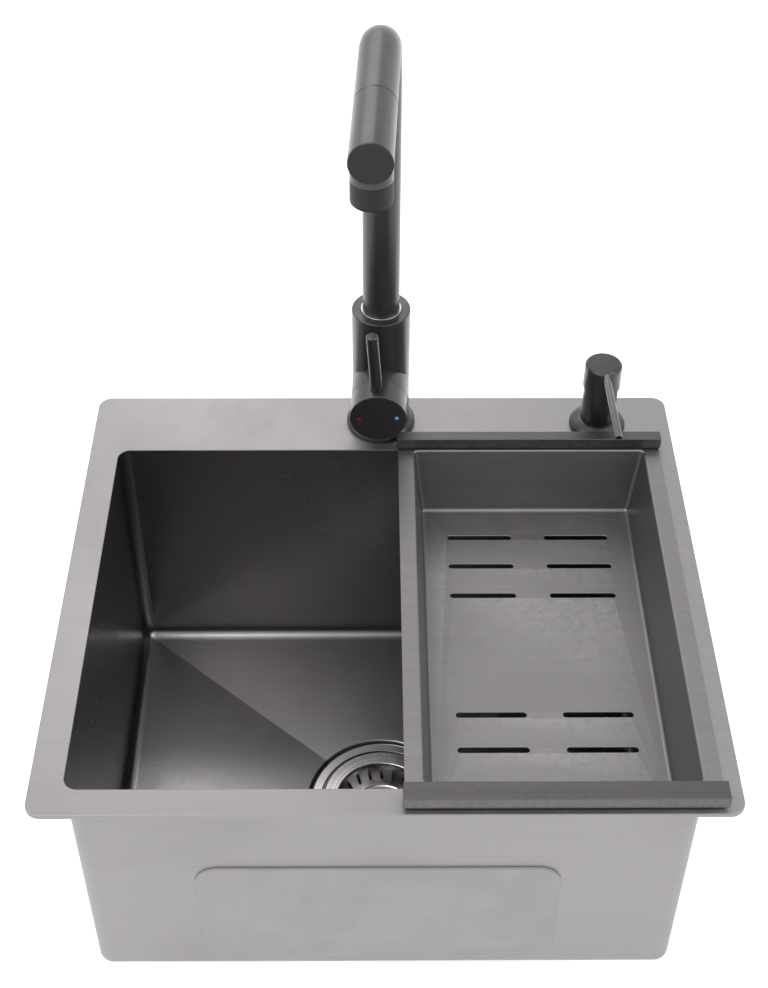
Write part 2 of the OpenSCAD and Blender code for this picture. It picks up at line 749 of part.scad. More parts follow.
// Sweeps a ring profile up the riser, round the bend and along the arm
module spout_path(outer, inner, z0, arm_end) {
  at_tap() {
    ring(outer, inner, z0, arm_z - bend_r);
    translate([0, -bend_r, arm_z - bend_r]) rotate([90, 0, 90]) rotate_extrude(angle = 90)
      translate([bend_r, 0]) difference() {
        circle(outer);
        circle(inner);
      }
    translate([0, -bend_r, arm_z]) rotate([90, 0, 0]) ring(outer, inner, 0, arm_end - bend_r);
  }
}

module spout_tube() color("#333234") spout_path(spout_r, spout_inner_r, spout_foot_z, head_start);

module spout_seals() {
  color("#1c1c1e") at_tap() for (z = [spout_foot_z + 4, spout_foot_z + 9])
    translate([0, 0, z]) rotate_extrude() translate([spout_r + 0.8, 0]) circle(0.78);
}

// Puts children on the arm, with +Z pointing out along it from the tap's axis
module on_arm() at_tap() translate([0, 0, arm_z]) rotate([90, 0, 0]) children();

module docking_sleeve() {
  color("#3a3a3c") on_arm() ring(spout_inner_r, sleeve_inner_r, head_start - spigot_len - 2, head_start);
}

module spray_hose() {
  color("#55555a") spout_path(hose_r, hose_r - 1.5, shank_end_z - 12, head_start - spigot_len);
}

module hose_coupling() {
  color("#b08d4f") at_tap() ring(hose_r + 1.7, hose_r, shank_end_z - 18, shank_end_z - 4);
}

nozzle_axis = spout_reach - nozzle_r;

module spray_body() {
  color("#3b3a3c") difference() {
    union() {
      on_arm() translate([0, 0, head_start]) cylinder(h = spout_reach - end_cap_t - head_start, r = spout_r);
      on_arm() translate([0, 0, head_start - spigot_len])
        cylinder(h = spigot_len + past, r = sleeve_inner_r - run_clear);
      at_tap() translate([0, -nozzle_axis, arm_z - nozzle_top]) cylinder(h = nozzle_top, r = nozzle_r);
    }
    on_arm() translate([0, 0, head_start - spigot_len - past])
      cylinder(h = nozzle_axis - head_start + spigot_len + past, r = hose_r - 1.5);
    at_tap() translate([0, -nozzle_axis, arm_z - nozzle_top - past]) cylinder(h = nozzle_top + past, r = 8);
    on_arm() translate([0, 0, spout_reach - end_cap_t]) cylinder(h = end_cap_t + past, r = spout_r);
  }
}

module spray_end_cap() {
  color("#29282a") on_arm() rotate_extrude() polygon([
    [0, spout_reach - end_cap_t], [spout_r, spout_reach - end_cap_t],
    [spout_r, spout_reach - 0.4], [spout_r - 0.4, spout_reach], [0, spout_reach],
  ]);
}

aerator_t = 5;

module spray_nozzle() {
  h = nozzle_low - nozzle_top;
  color("#2f2e30") at_tap() translate([0, -nozzle_axis, arm_z - nozzle_low]) rotate_extrude() polygon([
    [10.6, 0], [nozzle_r - 2, 0], [nozzle_r - 1, 0.3], [nozzle_r - 0.3, 1], [nozzle_r, 2], [nozzle_r, h],
    [8, h], [8, aerator_t + 0.8], [10.6, aerator_t + 0.8],
  ]);
}

module aerator() {
  color("#9a9a9e") at_tap() translate([0, -nozzle_axis, arm_z - nozzle_low + 0.8]) difference() {
    cylinder(h = aerator_t, r = 10.5);
    for (count = [6, 12]) for (i = [0 : count - 1]) rotate([0, 0, i * 360 / count])
      translate([count * 0.65, 0, -past]) cylinder(h = aerator_t + 2 * past, r = 0.9);
  }
}

module dispenser_washers() {
  color("#232325") at_pump() {
    ring(pump_flange_r - 1, collar_r + seat_clear, rim_t, rim_t + pump_washer_t);
    ring(pump_nut_r + 1, collar_r + seat_clear, -under_washer_h, 0);
  }
}

module dispenser_flange() {
  z = rim_t + pump_washer_t;
  color("#333234") at_pump() rotate_extrude() polygon([
    [collar_r + seat_clear, z], [pump_flange_r, z], [pump_flange_r, z + 1.5],
    [pump_flange_r - 1, z + 3.2], [pump_flange_r - 3, z + 4.8], [collar_r + 2, z + pump_flange_h - 0.4],
    [collar_r + seat_clear, z + pump_flange_h],
  ]);
}

// The collar above the deck, threaded below it
module dispenser_collar() {
  ledge_z = barrel_top_z - 2 * barrel_lip;
  color("#2d2c2e") at_pump() union() {
    ring(collar_r, collar_inner_r, pump_shank_end_z, collar_z);
    ring(collar_inner_r + past, barrel_r + barrel_wall + seat_clear, ledge_z - ledge_t, ledge_z);
  }
}

module dispenser_nut() {
  color("#2d2c2e") at_pump() translate([0, 0, -under_washer_h - pump_nut_h]) linear_extrude(pump_nut_h)
    difference() {
      union() {
        circle(pump_nut_r);
        for (turn = [0 : 60 : 300]) rotate(turn) translate([pump_nut_r - 2, -2]) square([4, 4]);
      }
      circle(collar_r + seat_clear);
    }
}

module soap_bottle() {
  neck = collar_r + seat_clear;
  low = bottle_top_z - bottle_h;
  shoulder = pump_shank_end_z - shoulder_drop;
  color("#e9e6df") at_pump() rotate_extrude() polygon([
    [0, low], [bottle_r - 4, low], [bottle_r - 1, low + 1], [bottle_r, low + 4], [bottle_r, shoulder],
    [bottle_r - 2, shoulder + 6], [neck + 2, pump_shank_end_z - 1], [neck + 2, bottle_top_z],
    [neck, bottle_top_z], [neck, pump_shank_end_z - 2.2], [bottle_r - 2 - bottle_t, shoulder + 5],
    [bottle_r - bottle_t, shoulder - 0.4], [bottle_r - bottle_t, low + 4], [bottle_r - 4, low + bottle_t],
    [0, low + bottle_t],
  ]);
}

// The barrel hangs by its flange from the ledge inside the collar
module pump_barrel() {
  outer = barrel_r + barrel_wall;
  flange = collar_inner_r - seat_clear;
  low = barrel_top_z - 2 * barrel_lip;
  color("#dedbd4") at_pump() rotate_extrude() polygon([
    [dip_r, barrel_end_z], [outer, barrel_end_z], [outer, low], [flange, low], [flange, low + barrel_lip],
    [barrel_r, low + barrel_lip], [barrel_r, barrel_end_z + barrel_lip], [dip_r, barrel_end_z + barrel_lip],
  ]);
}

module barrel_cap() {
  z = barrel_top_z - barrel_lip;
  color("#c9c6bf") at_pump() ring(collar_inner_r - seat_clear, stem_r + run_clear, z, barrel_top_z);
}

// Points of a round wire that winds up a helix, a ring of points at each step
function wire_ring(t, turns, pitch, r, wire, sides) =
  [for (k = [0 : sides - 1]) let (a = t * turns * 360, b = k * 360 / sides)
    [(r + wire * cos(b)) * cos(a), (r + wire * cos(b)) * sin(a), t * turns * pitch + wire * sin(b)]];

// A coil spring from z = 0 up to the given height
module coil_spring(height, r, wire, turns) {
  sides = 6;
  steps = turns * 8;
  pitch = (height - 2 * wire) / turns;
  points = [for (i = [0 : steps]) each wire_ring(i / steps, turns, pitch, r, wire, sides)];
  walls = [for (i = [0 : steps - 1], k = [0 : sides - 1])
    let (a = i * sides + k, b = i * sides + (k + 1) % sides)
      each [[a, a + sides, b], [b, a + sides, b + sides]]];
  caps = [[for (k = [0 : sides - 1]) k], [for (k = [sides - 1 : -1 : 0]) steps * sides + k]];
  translate([0, 0, wire]) polyhedron(points, concat(walls, caps));
}

module pump_spring() {
  low = barrel_end_z + barrel_lip;
  color("#bdbdc0") at_pump() translate([0, 0, low])
    coil_spring(piston_z - low, barrel_r - spring_gap - spring_wire_r, spring_wire_r, spring_turns);
}

module dip_tube() {
  color("#f0eee9") at_pump() ring(dip_r, dip_r - 0.7, bottle_top_z - bottle_h + 4, barrel_end_z + 1);
}

// The stem and the piston at its lower end
module pump_stem() {
  color("#dedbd4") at_pump() union() {
    translate([0, 0, piston_z]) cylinder(h = head_roof_z + 2.2 - piston_z, r = stem_r);
    translate([0, 0, piston_z]) cylinder(h = piston_h, r = barrel_r - run_clear);
  }
}

// Puts children on the soap nozzle's axis, with +Z pointing towards its tip
module on_soap_nozzle() {
  at_pump() rotate([0, 0, soap_turn]) translate([0, -head_r, head_top_z - soap_nozzle_r - 0.6])
    rotate([90 + soap_slope, 0, 0]) children();
}

module pump_head() {
  cap_z = head_roof_z + 2.2; // top of the stem's socket
  color("#333234") difference() {
    at_pump() rotate_extrude() polygon([
      [0, head_roof_z], [0, head_top_z], [head_r - 2, head_top_z], [head_r - 0.5, head_top_z - 1],
      [head_r - 0.2, head_top_z - 2], [head_r, head_z], [head_inner_r, head_z],
      [head_inner_r, head_roof_z], [boss_r, head_roof_z], [boss_r, boss_z], [stem_r + run_clear, boss_z],
      [stem_r + run_clear, cap_z], [0, cap_z],
    ]);
    on_soap_nozzle() translate([0, 0, nozzle_root_r - head_r])
      cylinder(h = head_r, r = soap_nozzle_r + run_clear);
  }
}

module soap_nozzle() {
  length = (soap_reach - head_r) / cos(soap_slope);
  color("#3b3a3c") on_soap_nozzle() translate([0, 0, nozzle_root_r - head_r]) difference() {
    cylinder(h = length + head_r - nozzle_root_r, r = soap_nozzle_r);
    translate([0, 0, 5]) cylinder(h = length + 20, r = soap_nozzle_r - 1);
  }
}

deck_plate();
rim_seal();
bowl();
front_sound_pad();
side_sound_pads();
rear_sound_pad();
floor_sound_pads();
strainer_body();
strainer_gasket();
strainer_washer();
friction_ring();
strainer_locknut();
strainer_basket();
basket_knob();
basket_stopper();
tray_pan();
tray_front_rail();
tray_rear_rail();
tray_glides();
tap_gasket();
tap_base();
tap_body();
tap_shank();
shank_washer();
shank_clamp();
shank_nut();
cartridge_body();
fixed_disc();
cartridge_nut();
spout_bush();
cartridge_carrier();
moving_disc();
stem_pin();
handle_cap();
pin_lever();
cartridge_stem();
cap_screw();
hot_mark();
cold_mark();
spout_tube();
spout_seals();
docking_sleeve();
spray_hose();
hose_coupling();
spray_body();
spray_end_cap();
spray_nozzle();
aerator();
dispenser_washers();
dispenser_flange();
dispenser_collar();
dispenser_nut();
soap_bottle();
pump_barrel();
barrel_cap();
pump_spring();
dip_tube();
pump_stem();
pump_head();
soap_nozzle();
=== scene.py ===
"""Looks of a drop-in kitchen sink with a pull-out tap, a soap dispenser and a sliding drain tray.

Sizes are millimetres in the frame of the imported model, whose origin is the centre of the rim
plate's underside. Meshes are written in metres.
"""

from __future__ import annotations

import json
import logging
import math
from dataclasses import dataclass
from enum import Enum
from typing import Callable, Optional, Sequence

import bmesh
import bpy
from mathutils import Matrix, Vector
from mathutils.geometry import tessellate_polygon


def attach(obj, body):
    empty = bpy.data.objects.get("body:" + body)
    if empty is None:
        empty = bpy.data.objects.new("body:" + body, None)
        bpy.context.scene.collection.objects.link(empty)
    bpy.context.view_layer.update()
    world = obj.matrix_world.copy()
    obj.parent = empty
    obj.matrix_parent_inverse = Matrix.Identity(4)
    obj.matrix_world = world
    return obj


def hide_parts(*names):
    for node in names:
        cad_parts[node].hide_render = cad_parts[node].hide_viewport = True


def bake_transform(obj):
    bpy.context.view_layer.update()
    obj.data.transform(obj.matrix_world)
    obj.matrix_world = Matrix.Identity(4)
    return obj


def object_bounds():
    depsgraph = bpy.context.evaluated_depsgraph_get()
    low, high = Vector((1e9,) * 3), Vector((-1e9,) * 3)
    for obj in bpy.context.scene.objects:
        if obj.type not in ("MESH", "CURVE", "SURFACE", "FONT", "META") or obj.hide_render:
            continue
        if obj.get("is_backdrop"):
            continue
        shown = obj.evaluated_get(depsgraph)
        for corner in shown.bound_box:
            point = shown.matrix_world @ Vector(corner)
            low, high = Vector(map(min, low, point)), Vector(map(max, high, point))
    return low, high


LOG = logging.getLogger("kitchen_sink")
MM = 0.001
RIGHT_ANGLE = math.pi / 2

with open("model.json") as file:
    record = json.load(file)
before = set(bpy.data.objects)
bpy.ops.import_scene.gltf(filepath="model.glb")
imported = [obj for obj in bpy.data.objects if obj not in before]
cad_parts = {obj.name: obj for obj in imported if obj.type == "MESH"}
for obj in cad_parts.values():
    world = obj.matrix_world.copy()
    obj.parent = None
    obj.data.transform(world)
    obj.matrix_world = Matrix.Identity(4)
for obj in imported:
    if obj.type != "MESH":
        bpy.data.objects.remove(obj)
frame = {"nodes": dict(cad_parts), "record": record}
CAD_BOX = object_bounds()


# Meshes


class Shell:
    """A mesh under construction, in millimetres, that becomes one Blender object."""

    def __init__(self, place: Optional[Matrix] = None) -> None:
        """Starts an empty shell.

        Args:
            place: where new points go, in millimetres; the part's own frame if left out.
        """
        self.place = place or Matrix.Identity(4)
        self.points: list[Vector] = []
        self.faces: list[tuple[int, ...]] = []
        self.skins: list[int] = []
        self.creases: set[frozenset[int]] = set()

    def ring(self, points: Sequence[Sequence[float]]) -> list[int]:
        """Adds points and returns their numbers.

        Args:
            points: the points, in the shell's own place.

        Returns:
            The number of each point.
        """
        first = len(self.points)
        self.points += [self.place @ Vector(p) for p in points]
        return list(range(first, len(self.points)))

    def face(self, corners: Sequence[int], skin: int = 0) -> None:
        """Adds one face, without repeated corners.

        Args:
            corners: the numbers of its points.
            skin: the material slot that it takes.
        """
        kept = [c for i, c in enumerate(corners) if c != corners[i - 1]]
        if len(set(kept)) > 2:
            self.faces.append(tuple(kept))
            self.skins.append(skin)

    def bridge(self, a: Sequence[int], b: Sequence[int], skin: int = 0, closed: bool = True) -> None:
        """Joins two rings of as many points.

        Args:
            a: the numbers of one ring.
            b: the numbers of the other.
            skin: the material slot of the new faces.
            closed: whether the rings close on themselves.
        """
        count = len(a)
        for i in range(count if closed else count - 1):
            k = (i + 1) % count
            self.face((a[i], a[k], b[k], b[i]), skin)

    def loft(self, rings: Sequence[Sequence[int]], skin: int = 0, closed: bool = False) -> None:
        """Joins rings one after the other.

        Args:
            rings: the rings, in order.
            skin: the material slot of the new faces.
            closed: whether the last ring joins the first.
        """
        for a, b in zip(rings, rings[1:]):
            self.bridge(a, b, skin)
        if closed:
            self.bridge(rings[-1], rings[0], skin)

    def fill(self, outline: Sequence[int], holes: Sequence[Sequence[int]] = (), skin: int = 0) -> None:
        """Fills a flat outline, leaving its holes open.

        Args:
            outline: the numbers of the outer ring.
            holes: the rings of the holes.
            skin: the material slot of the new faces.
        """
        numbers = [n for loop in (outline, *holes) for n in loop]
        loops = [[self.points[n] for n in loop] for loop in (outline, *holes)]
        for a, b, c in tessellate_polygon(loops):
            self.face((numbers[a], numbers[b], numbers[c]), skin)

    def piece(self, name: str, smooth: float = 32.0, merge: float = 1e-4) -> bpy.types.Object:
        """Makes the object, with smooth faces between its sharp edges.

        Args:
            name: the object's name.
            smooth: edges that turn more than this many degrees stay sharp.
            merge: points closer than this, in millimetres, become one.

        Returns:
            The new object, linked to the scene.
        """
        mesh = bpy.data.meshes.new(name)
        work = bmesh.new()
        verts = [work.verts.new(p * MM) for p in self.points]
        for corners, skin in zip(self.faces, self.skins):
            try:
                work.faces.new([verts[c] for c in corners]).material_index = skin
            except ValueError:
                continue
        marked = [(verts[a], verts[b]) for a, b in (tuple(e) for e in self.creases)]
        layer = work.edges.layers.int.new("crease_mark")
        for a, b in marked:
            edge = work.edges.get((a, b))
            if edge:
                edge[layer] = 1
        bmesh.ops.remove_doubles(work, verts=work.verts, dist=merge * MM)
        bmesh.ops.dissolve_degenerate(work, edges=work.edges, dist=merge * MM)
        bmesh.ops.delete(work, geom=[v for v in work.verts if not v.link_faces], context="VERTS")
        bmesh.ops.recalc_face_normals(work, faces=work.faces)
        work.to_mesh(mesh)
        work.free()
        return link_mesh(name, mesh, smooth)


def link_mesh(name: str, mesh: bpy.types.Mesh, smooth: float = 32.0) -> bpy.types.Object:
    """Links a mesh to the scene as an object with smooth faces and sharp edges.

    Args:
        name: the object's name.
        mesh: its mesh.
        smooth: edges that turn more than this many degrees stay sharp.

    Returns:
        The new object.
    """
    mesh.shade_smooth()
    mesh.set_sharp_from_angle(angle=math.radians(smooth))
    marks = mesh.attributes.get("crease_mark")
    if marks:
        sharp = mesh.attributes.get("sharp_edge") or mesh.attributes.new("sharp_edge", "BOOLEAN", "EDGE")
        for edge, mark in enumerate(marks.data):
            if mark.value:
                sharp.data[edge].value = True
        mesh.attributes.remove(mesh.attributes["crease_mark"])
    made = bpy.data.objects.new(name, mesh)
    bpy.context.scene.collection.objects.link(made)
    return made


def even_shading(piece: bpy.types.Object) -> None:
    """Lets large flat faces keep their own normal beside rounded edges."""
    made = piece.modifiers.new("even_shading", "WEIGHTED_NORMAL")
    made.keep_sharp = True


def fillet(outline: Sequence[Sequence[float]], steps: int = 4, closed: bool = True) -> list[Vector]:
    """Rounds the corners of an outline.

    Args:
        outline: the corners as (x, y) or (x, y, radius).
        steps: the number of faces round each corner.
        closed: whether the last corner joins the first.

    Returns:
        The points of the rounded outline.
    """
    made: list[Vector] = []
    count = len(outline)
    for i, corner in enumerate(outline):
        here = Vector(corner[:2])
        radius = corner[2] if len(corner) > 2 else 0.0
        if radius <= 0 or (not closed and i in (0, count - 1)):
            made.append(here)
            continue
        back = Vector(outline[i - 1][:2]) - here
        ahead = Vector(outline[(i + 1) % count][:2]) - here
        angle = back.angle(ahead)
        if angle > math.pi - 0.01:
            made.append(here)
            continue
        cut = min(radius / math.tan(angle / 2), back.length * 0.48, ahead.length * 0.48)
        radius = cut * math.tan(angle / 2)
        centre = here + (back.normalized() + ahead.normalized()).normalized() * (radius / math.sin(angle / 2))
        start = here + back.normalized() * cut - centre
        turn = start.angle_signed(here + ahead.normalized() * cut - centre)
        made += [centre + Matrix.Rotation(-turn * k / steps, 2) @ start for k in range(steps + 1)]
    return made


Radius = Callable[[float, float, float], float]


def angles(count: int) -> list[float]:
    """Even angles round a full turn."""
    return [2 * math.pi * k / count for k in range(count)]


def turned(
    name: str,
    outline: Sequence[Sequence[float]],
    place: Matrix,
    sides: int = 96,
    shape: Optional[Radius] = None,
) -> bpy.types.Object:
    """Turns a closed outline round the Z axis of a place, as on a lathe.

    Args:
        name: the piece's name.
        outline: the outline's corners as (radius, height) or (radius, height, fillet).
        place: where the axis stands, in millimetres.
        sides: the number of faces round the axis.
        shape: gives the radius from (radius, height, angle), for threads and ribs.

    Returns:
        The new object.
    """
    shell = Shell(place)
    rings = []
    for radius, height in fillet(outline):
        ring = []
        for angle in angles(sides):
            r = shape(radius, height, angle) if shape else radius
            ring.append((r * math.cos(angle), r * math.sin(angle), height))
        rings.append(shell.ring(ring))
    shell.loft(rings, closed=True)
    return shell.piece(name)


def tube(
    name: str,
    stations: Sequence[tuple[Vector, Vector]],
    outer: float,
    inner: float,
    place: Matrix,
    sides: int = 64,
    lip: float = 0.4,
) -> bpy.types.Object:
    """Sweeps a hollow tube with softened ends along a path in the plane x = 0.

    Args:
        name: the piece's name.
        stations: the path, as (centre, direction) pairs.
        outer: the outer radius.
        inner: the inner radius.
        place: where the path stands, in millimetres.
        sides: the number of faces round the tube.
        lip: how far the end's edges are softened.

    Returns:
        The new object.
    """
    shell = Shell(place)

    def hoop(centre: Vector, along: Vector, radius: float) -> list[int]:
        """Adds one ring round the path."""
        side = Vector((1, 0, 0))
        up = along.cross(side)
        return shell.ring([centre + (side * math.cos(a) + up * math.sin(a)) * radius for a in angles(sides)])

    (first, start), (last, end) = stations[0], stations[-1]
    rings = [hoop(first, start, outer - lip), hoop(first + start * lip, start, outer)]
    rings += [hoop(centre, along, outer) for centre, along in stations[1:-1]]
    rings += [hoop(last - end * lip, end, outer), hoop(last, end, outer - lip), hoop(last, end, inner + lip)]
    rings += [hoop(last - end * lip, end, inner)]
    rings += [hoop(centre, along, inner) for centre, along in reversed(stations[1:-1])]
    rings += [hoop(first + start * lip, start, inner), hoop(first, start, inner + lip)]
    shell.loft(rings, closed=True)
    return shell.piece(name)


def rounded_loop(x0: float, x1: float, y0: float, y1: float, radius: float, steps: int = 8) -> list[Vector]:
    """The outline of a rectangle with round corners, anticlockwise from the front right.

    Args:
        x0: its left side.
        x1: its right side.
        y0: its front.
        y1: its back.
        radius: the corners' radius.
        steps: the number of faces round each corner.

    Returns:
        The points of the outline.
    """
    corners = ((x1, y0, 1, 1), (x1, y1, 1, -1), (x0, y1, -1, -1), (x0, y0, -1, 1))
    made = []
    for n, (x, y, sx, sy) in enumerate(corners):
        centre = Vector((x - sx * radius, y + sy * radius))
        for k in range(steps + 1):
            angle = RIGHT_ANGLE * (n - 1 + k / steps)
            made.append(centre + Vector((math.cos(angle), math.sin(angle))) * radius)
    return made


def at_height(loop: Sequence[Vector], z: float) -> list[tuple[float, float, float]]:
    """Lifts a flat loop to a height."""
    return [(p.x, p.y, z) for p in loop]


def joined(name: str, keep: bpy.types.Object, tools: Sequence[tuple[str, bpy.types.Object]]) -> bpy.types.Object:
    """Adds or cuts away other meshes and keeps the result as one piece.

    Args:
        name: the new piece's name.
        keep: the mesh to start from.
        tools: pairs of UNION or DIFFERENCE and the mesh to use; each is used up.

    Returns:
        The new object.
    """
    for operation, tool in tools:
        cut = keep.modifiers.new("join", "BOOLEAN")
        cut.operation, cut.object, cut.solver = operation, tool, "EXACT"
    graph = bpy.context.evaluated_depsgraph_get()
    mesh = bpy.data.meshes.new_from_object(keep.evaluated_get(graph))
    for used in (keep, *(tool for _, tool in tools)):
        bpy.data.objects.remove(used)
    return link_mesh(name, mesh)


def slab(name: str, low: Sequence[float], high: Sequence[float], soft: float, hollow: float = 0.0) -> bpy.types.Object:
    """A block with rounded edges, open below as a folded channel if hollow.

    Args:
        name: the piece's name.
        low: its lowest corner.
        high: its highest corner.
        soft: the radius of its edges.
        hollow: the sheet's thickness if the block is an open channel.

    Returns:
        The new object.
    """
    work = bmesh.new()
    bmesh.ops.create_cube(work, size=1.0)
    size = [b - a for a, b in zip(low, high)]
    for v in work.verts:
        v.co = Vector([(low[i] + (v.co[i] + 0.5) * size[i]) * MM for i in range(3)])
    under = [f for f in work.faces if f.normal.z < -0.5]
    bevelled = [e for e in work.edges if not hollow or under[0] not in e.link_faces]
    bmesh.ops.bevel(
        work, geom=bevelled, offset=soft * MM, segments=4, profile=0.5, affect="EDGES", clamp_overlap=True
    )
    if hollow:
        under = max((f for f in work.faces if f.normal.z < -0.9), key=lambda f: f.calc_area())
        bmesh.ops.inset_region(work, faces=[under], thickness=hollow * MM, use_even_offset=True)
        moved = bmesh.ops.extrude_discrete_faces(work, faces=[under])["faces"]
        bmesh.ops.translate(work, verts=moved[0].verts, vec=(0, 0, (size[2] - hollow) * MM))
    mesh = bpy.data.meshes.new(name)
    bmesh.ops.recalc_face_normals(work, faces=work.faces)
    work.to_mesh(mesh)
    work.free()
    return link_mesh(name, mesh, 40)


# Shader effects that several finishes share


class Effect(Enum):
    """The shared effects, each one node group."""

    BRUSH = "brushed_lines"
    CLOUD = "soft_clouds"
    SPECKLE = "coating_speckle"
    EDGE = "rubbed_edges"
    SETTLE = "settled_dust"


class Sketch:
    """A node tree with short calls to add and join its nodes."""

    def __init__(self, tree: bpy.types.NodeTree) -> None:
        """Takes a tree and empties it."""
        self.tree = tree
        tree.nodes.clear()

    def add(self, kind: str, values: Optional[dict] = None, **settings: object) -> bpy.types.Node:
        """Adds a node.

        Args:
            kind: the node's type.
            values: a constant or a socket to join for each named or numbered input.
            settings: the node's own settings.

        Returns:
            The new node.
        """
        node = self.tree.nodes.new(kind)
        for key, value in settings.items():
            setattr(node, key, value)
        for key, value in (values or {}).items():
            self.feed(node.inputs[key], value)
        return node

    def feed(self, socket: bpy.types.NodeSocket, value: object) -> None:
        """Sets an input to a constant, or joins a socket to it.

        Args:
            socket: the input.
            value: a constant or an output socket.
        """
        if isinstance(value, bpy.types.NodeSocket):
            self.tree.links.new(value, socket)
        else:
            socket.default_value = value

    def math(self, operation: str, *values: object, clamp: bool = False) -> bpy.types.NodeSocket:
        """Adds a Math node.

        Args:
            operation: what it does.
            values: its inputs.
            clamp: whether the result stays between 0 and 1.

        Returns:
            The node's output.
        """
        made = self.add("ShaderNodeMath", dict(enumerate(values)), operation=operation, use_clamp=clamp)
        return made.outputs[0]

    def spread(
        self, value: object, low: float, high: float, to_low: object = 0.0, to_high: object = 1.0
    ) -> bpy.types.NodeSocket:
        """Maps a value from one range to another, smoothly.

        Args:
            value: the value.
            low: the start of its range.
            high: the end of its range.
            to_low: the result at the start.
            to_high: the result at the end.

        Returns:
            The mapped value.
        """
        made = self.add(
            "ShaderNodeMapRange",
            {0: value, 1: low, 2: high, 3: to_low, 4: to_high},
            interpolation_type="SMOOTHSTEP",
        )
        return made.outputs[0]

    def seen(self) -> bpy.types.NodeSocket:
        """Tells whether a ray comes from the camera, a reflection or a clear piece."""
        path = self.add("ShaderNodeLightPath").outputs
        direct = self.math("MAXIMUM", path["Is Camera Ray"], path["Is Glossy Ray"])
        return self.math("MAXIMUM", direct, path["Is Transmission Ray"])

    def blend(self, amount: object, a: object, b: object) -> bpy.types.NodeSocket:
        """Mixes two colours.

        Args:
            amount: how much of the second.
            a: the first colour.
            b: the second colour.

        Returns:
            The mixed colour.
        """
        mix = self.add("ShaderNodeMix", data_type="RGBA")
        for name, value in zip(("Factor_Float", "A_Color", "B_Color"), (amount, a, b)):
            self.feed(next(s for s in mix.inputs if s.identifier == name), value)
        return next(s for s in mix.outputs if s.identifier == "Result_Color")


def effect_tree(effect: Effect, inputs: dict, outputs: Sequence[str]) -> tuple[Sketch, dict, bpy.types.Node]:
    """Starts a node group with named inputs and outputs.

    Args:
        effect: which effect it is.
        inputs: the default of each input; None is a vector without one.
        outputs: the names of the outputs.

    Returns:
        The group's sketch, its inputs' sockets by name, and its output node.
    """
    tree = bpy.data.node_groups.new(effect.value, "ShaderNodeTree")
    for name, default in inputs.items():
        kind = "NodeSocketFloat" if isinstance(default, float) else "NodeSocketVector"
        socket = tree.interface.new_socket(name, in_out="INPUT", socket_type=kind)
        if default is not None:
            socket.default_value = default
    for name in outputs:
        tree.interface.new_socket(name, in_out="OUTPUT", socket_type="NodeSocketFloat")
    sketch = Sketch(tree)
    source = sketch.add("NodeGroupInput")
    return sketch, {n: source.outputs[n] for n in inputs}, sketch.add("NodeGroupOutput")


def make_brush() -> bpy.types.NodeTree:
    """Fine lines from brushing, drawn out along one axis.

    Returns:
        The node group, whose Stretch gives the lines per metre on each axis.
    """
    sketch, source, end = effect_tree(Effect.BRUSH, {"Vector": None, "Stretch": (400.0, 8.0, 400.0)}, ("Line",))
    along = sketch.add(
        "ShaderNodeVectorMath", {0: source["Vector"], 1: source["Stretch"]}, operation="MULTIPLY"
    ).outputs[0]
    fine = sketch.add("ShaderNodeTexNoise", {"Vector": along, "Scale": 1.0, "Detail": 5.0, "Roughness": 0.72})
    broad = sketch.add(
        "ShaderNodeVectorMath", {0: along, 1: (0.21, 0.21, 0.21)}, operation="MULTIPLY"
    ).outputs[0]
    wide = sketch.add("ShaderNodeTexNoise", {"Vector": broad, "Scale": 1.0, "Detail": 2.0})
    both = sketch.math("MULTIPLY_ADD", wide.outputs[0], 0.35, sketch.math("MULTIPLY", fine.outputs[0], 0.65))
    sketch.feed(end.inputs["Line"], sketch.spread(both, 0.3, 0.7))
    return sketch.tree


def make_cloud() -> bpy.types.NodeTree:
    """Slow, soft change over a surface.

    Returns:
        The node group.
    """
    sketch, source, end = effect_tree(Effect.CLOUD, {"Vector": None, "Scale": 9.0}, ("Value",))
    noise = sketch.add(
        "ShaderNodeTexNoise", {"Vector": source["Vector"], "Scale": source["Scale"], "Detail": 3.0, "Distortion": 0.4}
    )
    sketch.feed(end.inputs["Value"], sketch.spread(noise.outputs[0], 0.3, 0.7))
    return sketch.tree


def make_speckle() -> bpy.types.NodeTree:
    """The fine orange peel and flecks of a sprayed coating or moulded plastic.

    Returns:
        The node group.
    """
    sketch, source, end = effect_tree(Effect.SPECKLE, {"Vector": None, "Scale": 1500.0}, ("Height", "Fleck"))
    fine = sketch.add(
        "ShaderNodeTexNoise", {"Vector": source["Vector"], "Scale": source["Scale"], "Detail": 2.0, "Roughness": 0.6}
    )
    cells = sketch.add("ShaderNodeTexVoronoi", {"Vector": source["Vector"], "Scale": source["Scale"]})
    sketch.feed(end.inputs["Height"], fine.outputs[0])
    sketch.feed(end.inputs["Fleck"], sketch.spread(cells.outputs["Distance"], 0.28, 0.05))
    return sketch.tree


def make_edge() -> bpy.types.NodeTree:
    """A mask of outer edges that hands and cloths have rubbed, broken up by noise.

    Returns:
        The node group.
    """
    sketch, source, end = effect_tree(Effect.EDGE, {"Vector": None, "From": 0.52, "To": 0.6}, ("Mask",))
    geometry = sketch.add("ShaderNodeNewGeometry")
    noise = sketch.add("ShaderNodeTexNoise", {"Vector": source["Vector"], "Scale": 240.0, "Detail": 3.0})
    edge = sketch.add(
        "ShaderNodeMapRange", {0: geometry.outputs["Pointiness"], 1: source["From"], 2: source["To"]}
    ).outputs[0]
    sketch.feed(end.inputs["Mask"], sketch.math("MULTIPLY", edge, sketch.spread(noise.outputs[0], 0.3, 0.6, 0.35)))
    return sketch.tree


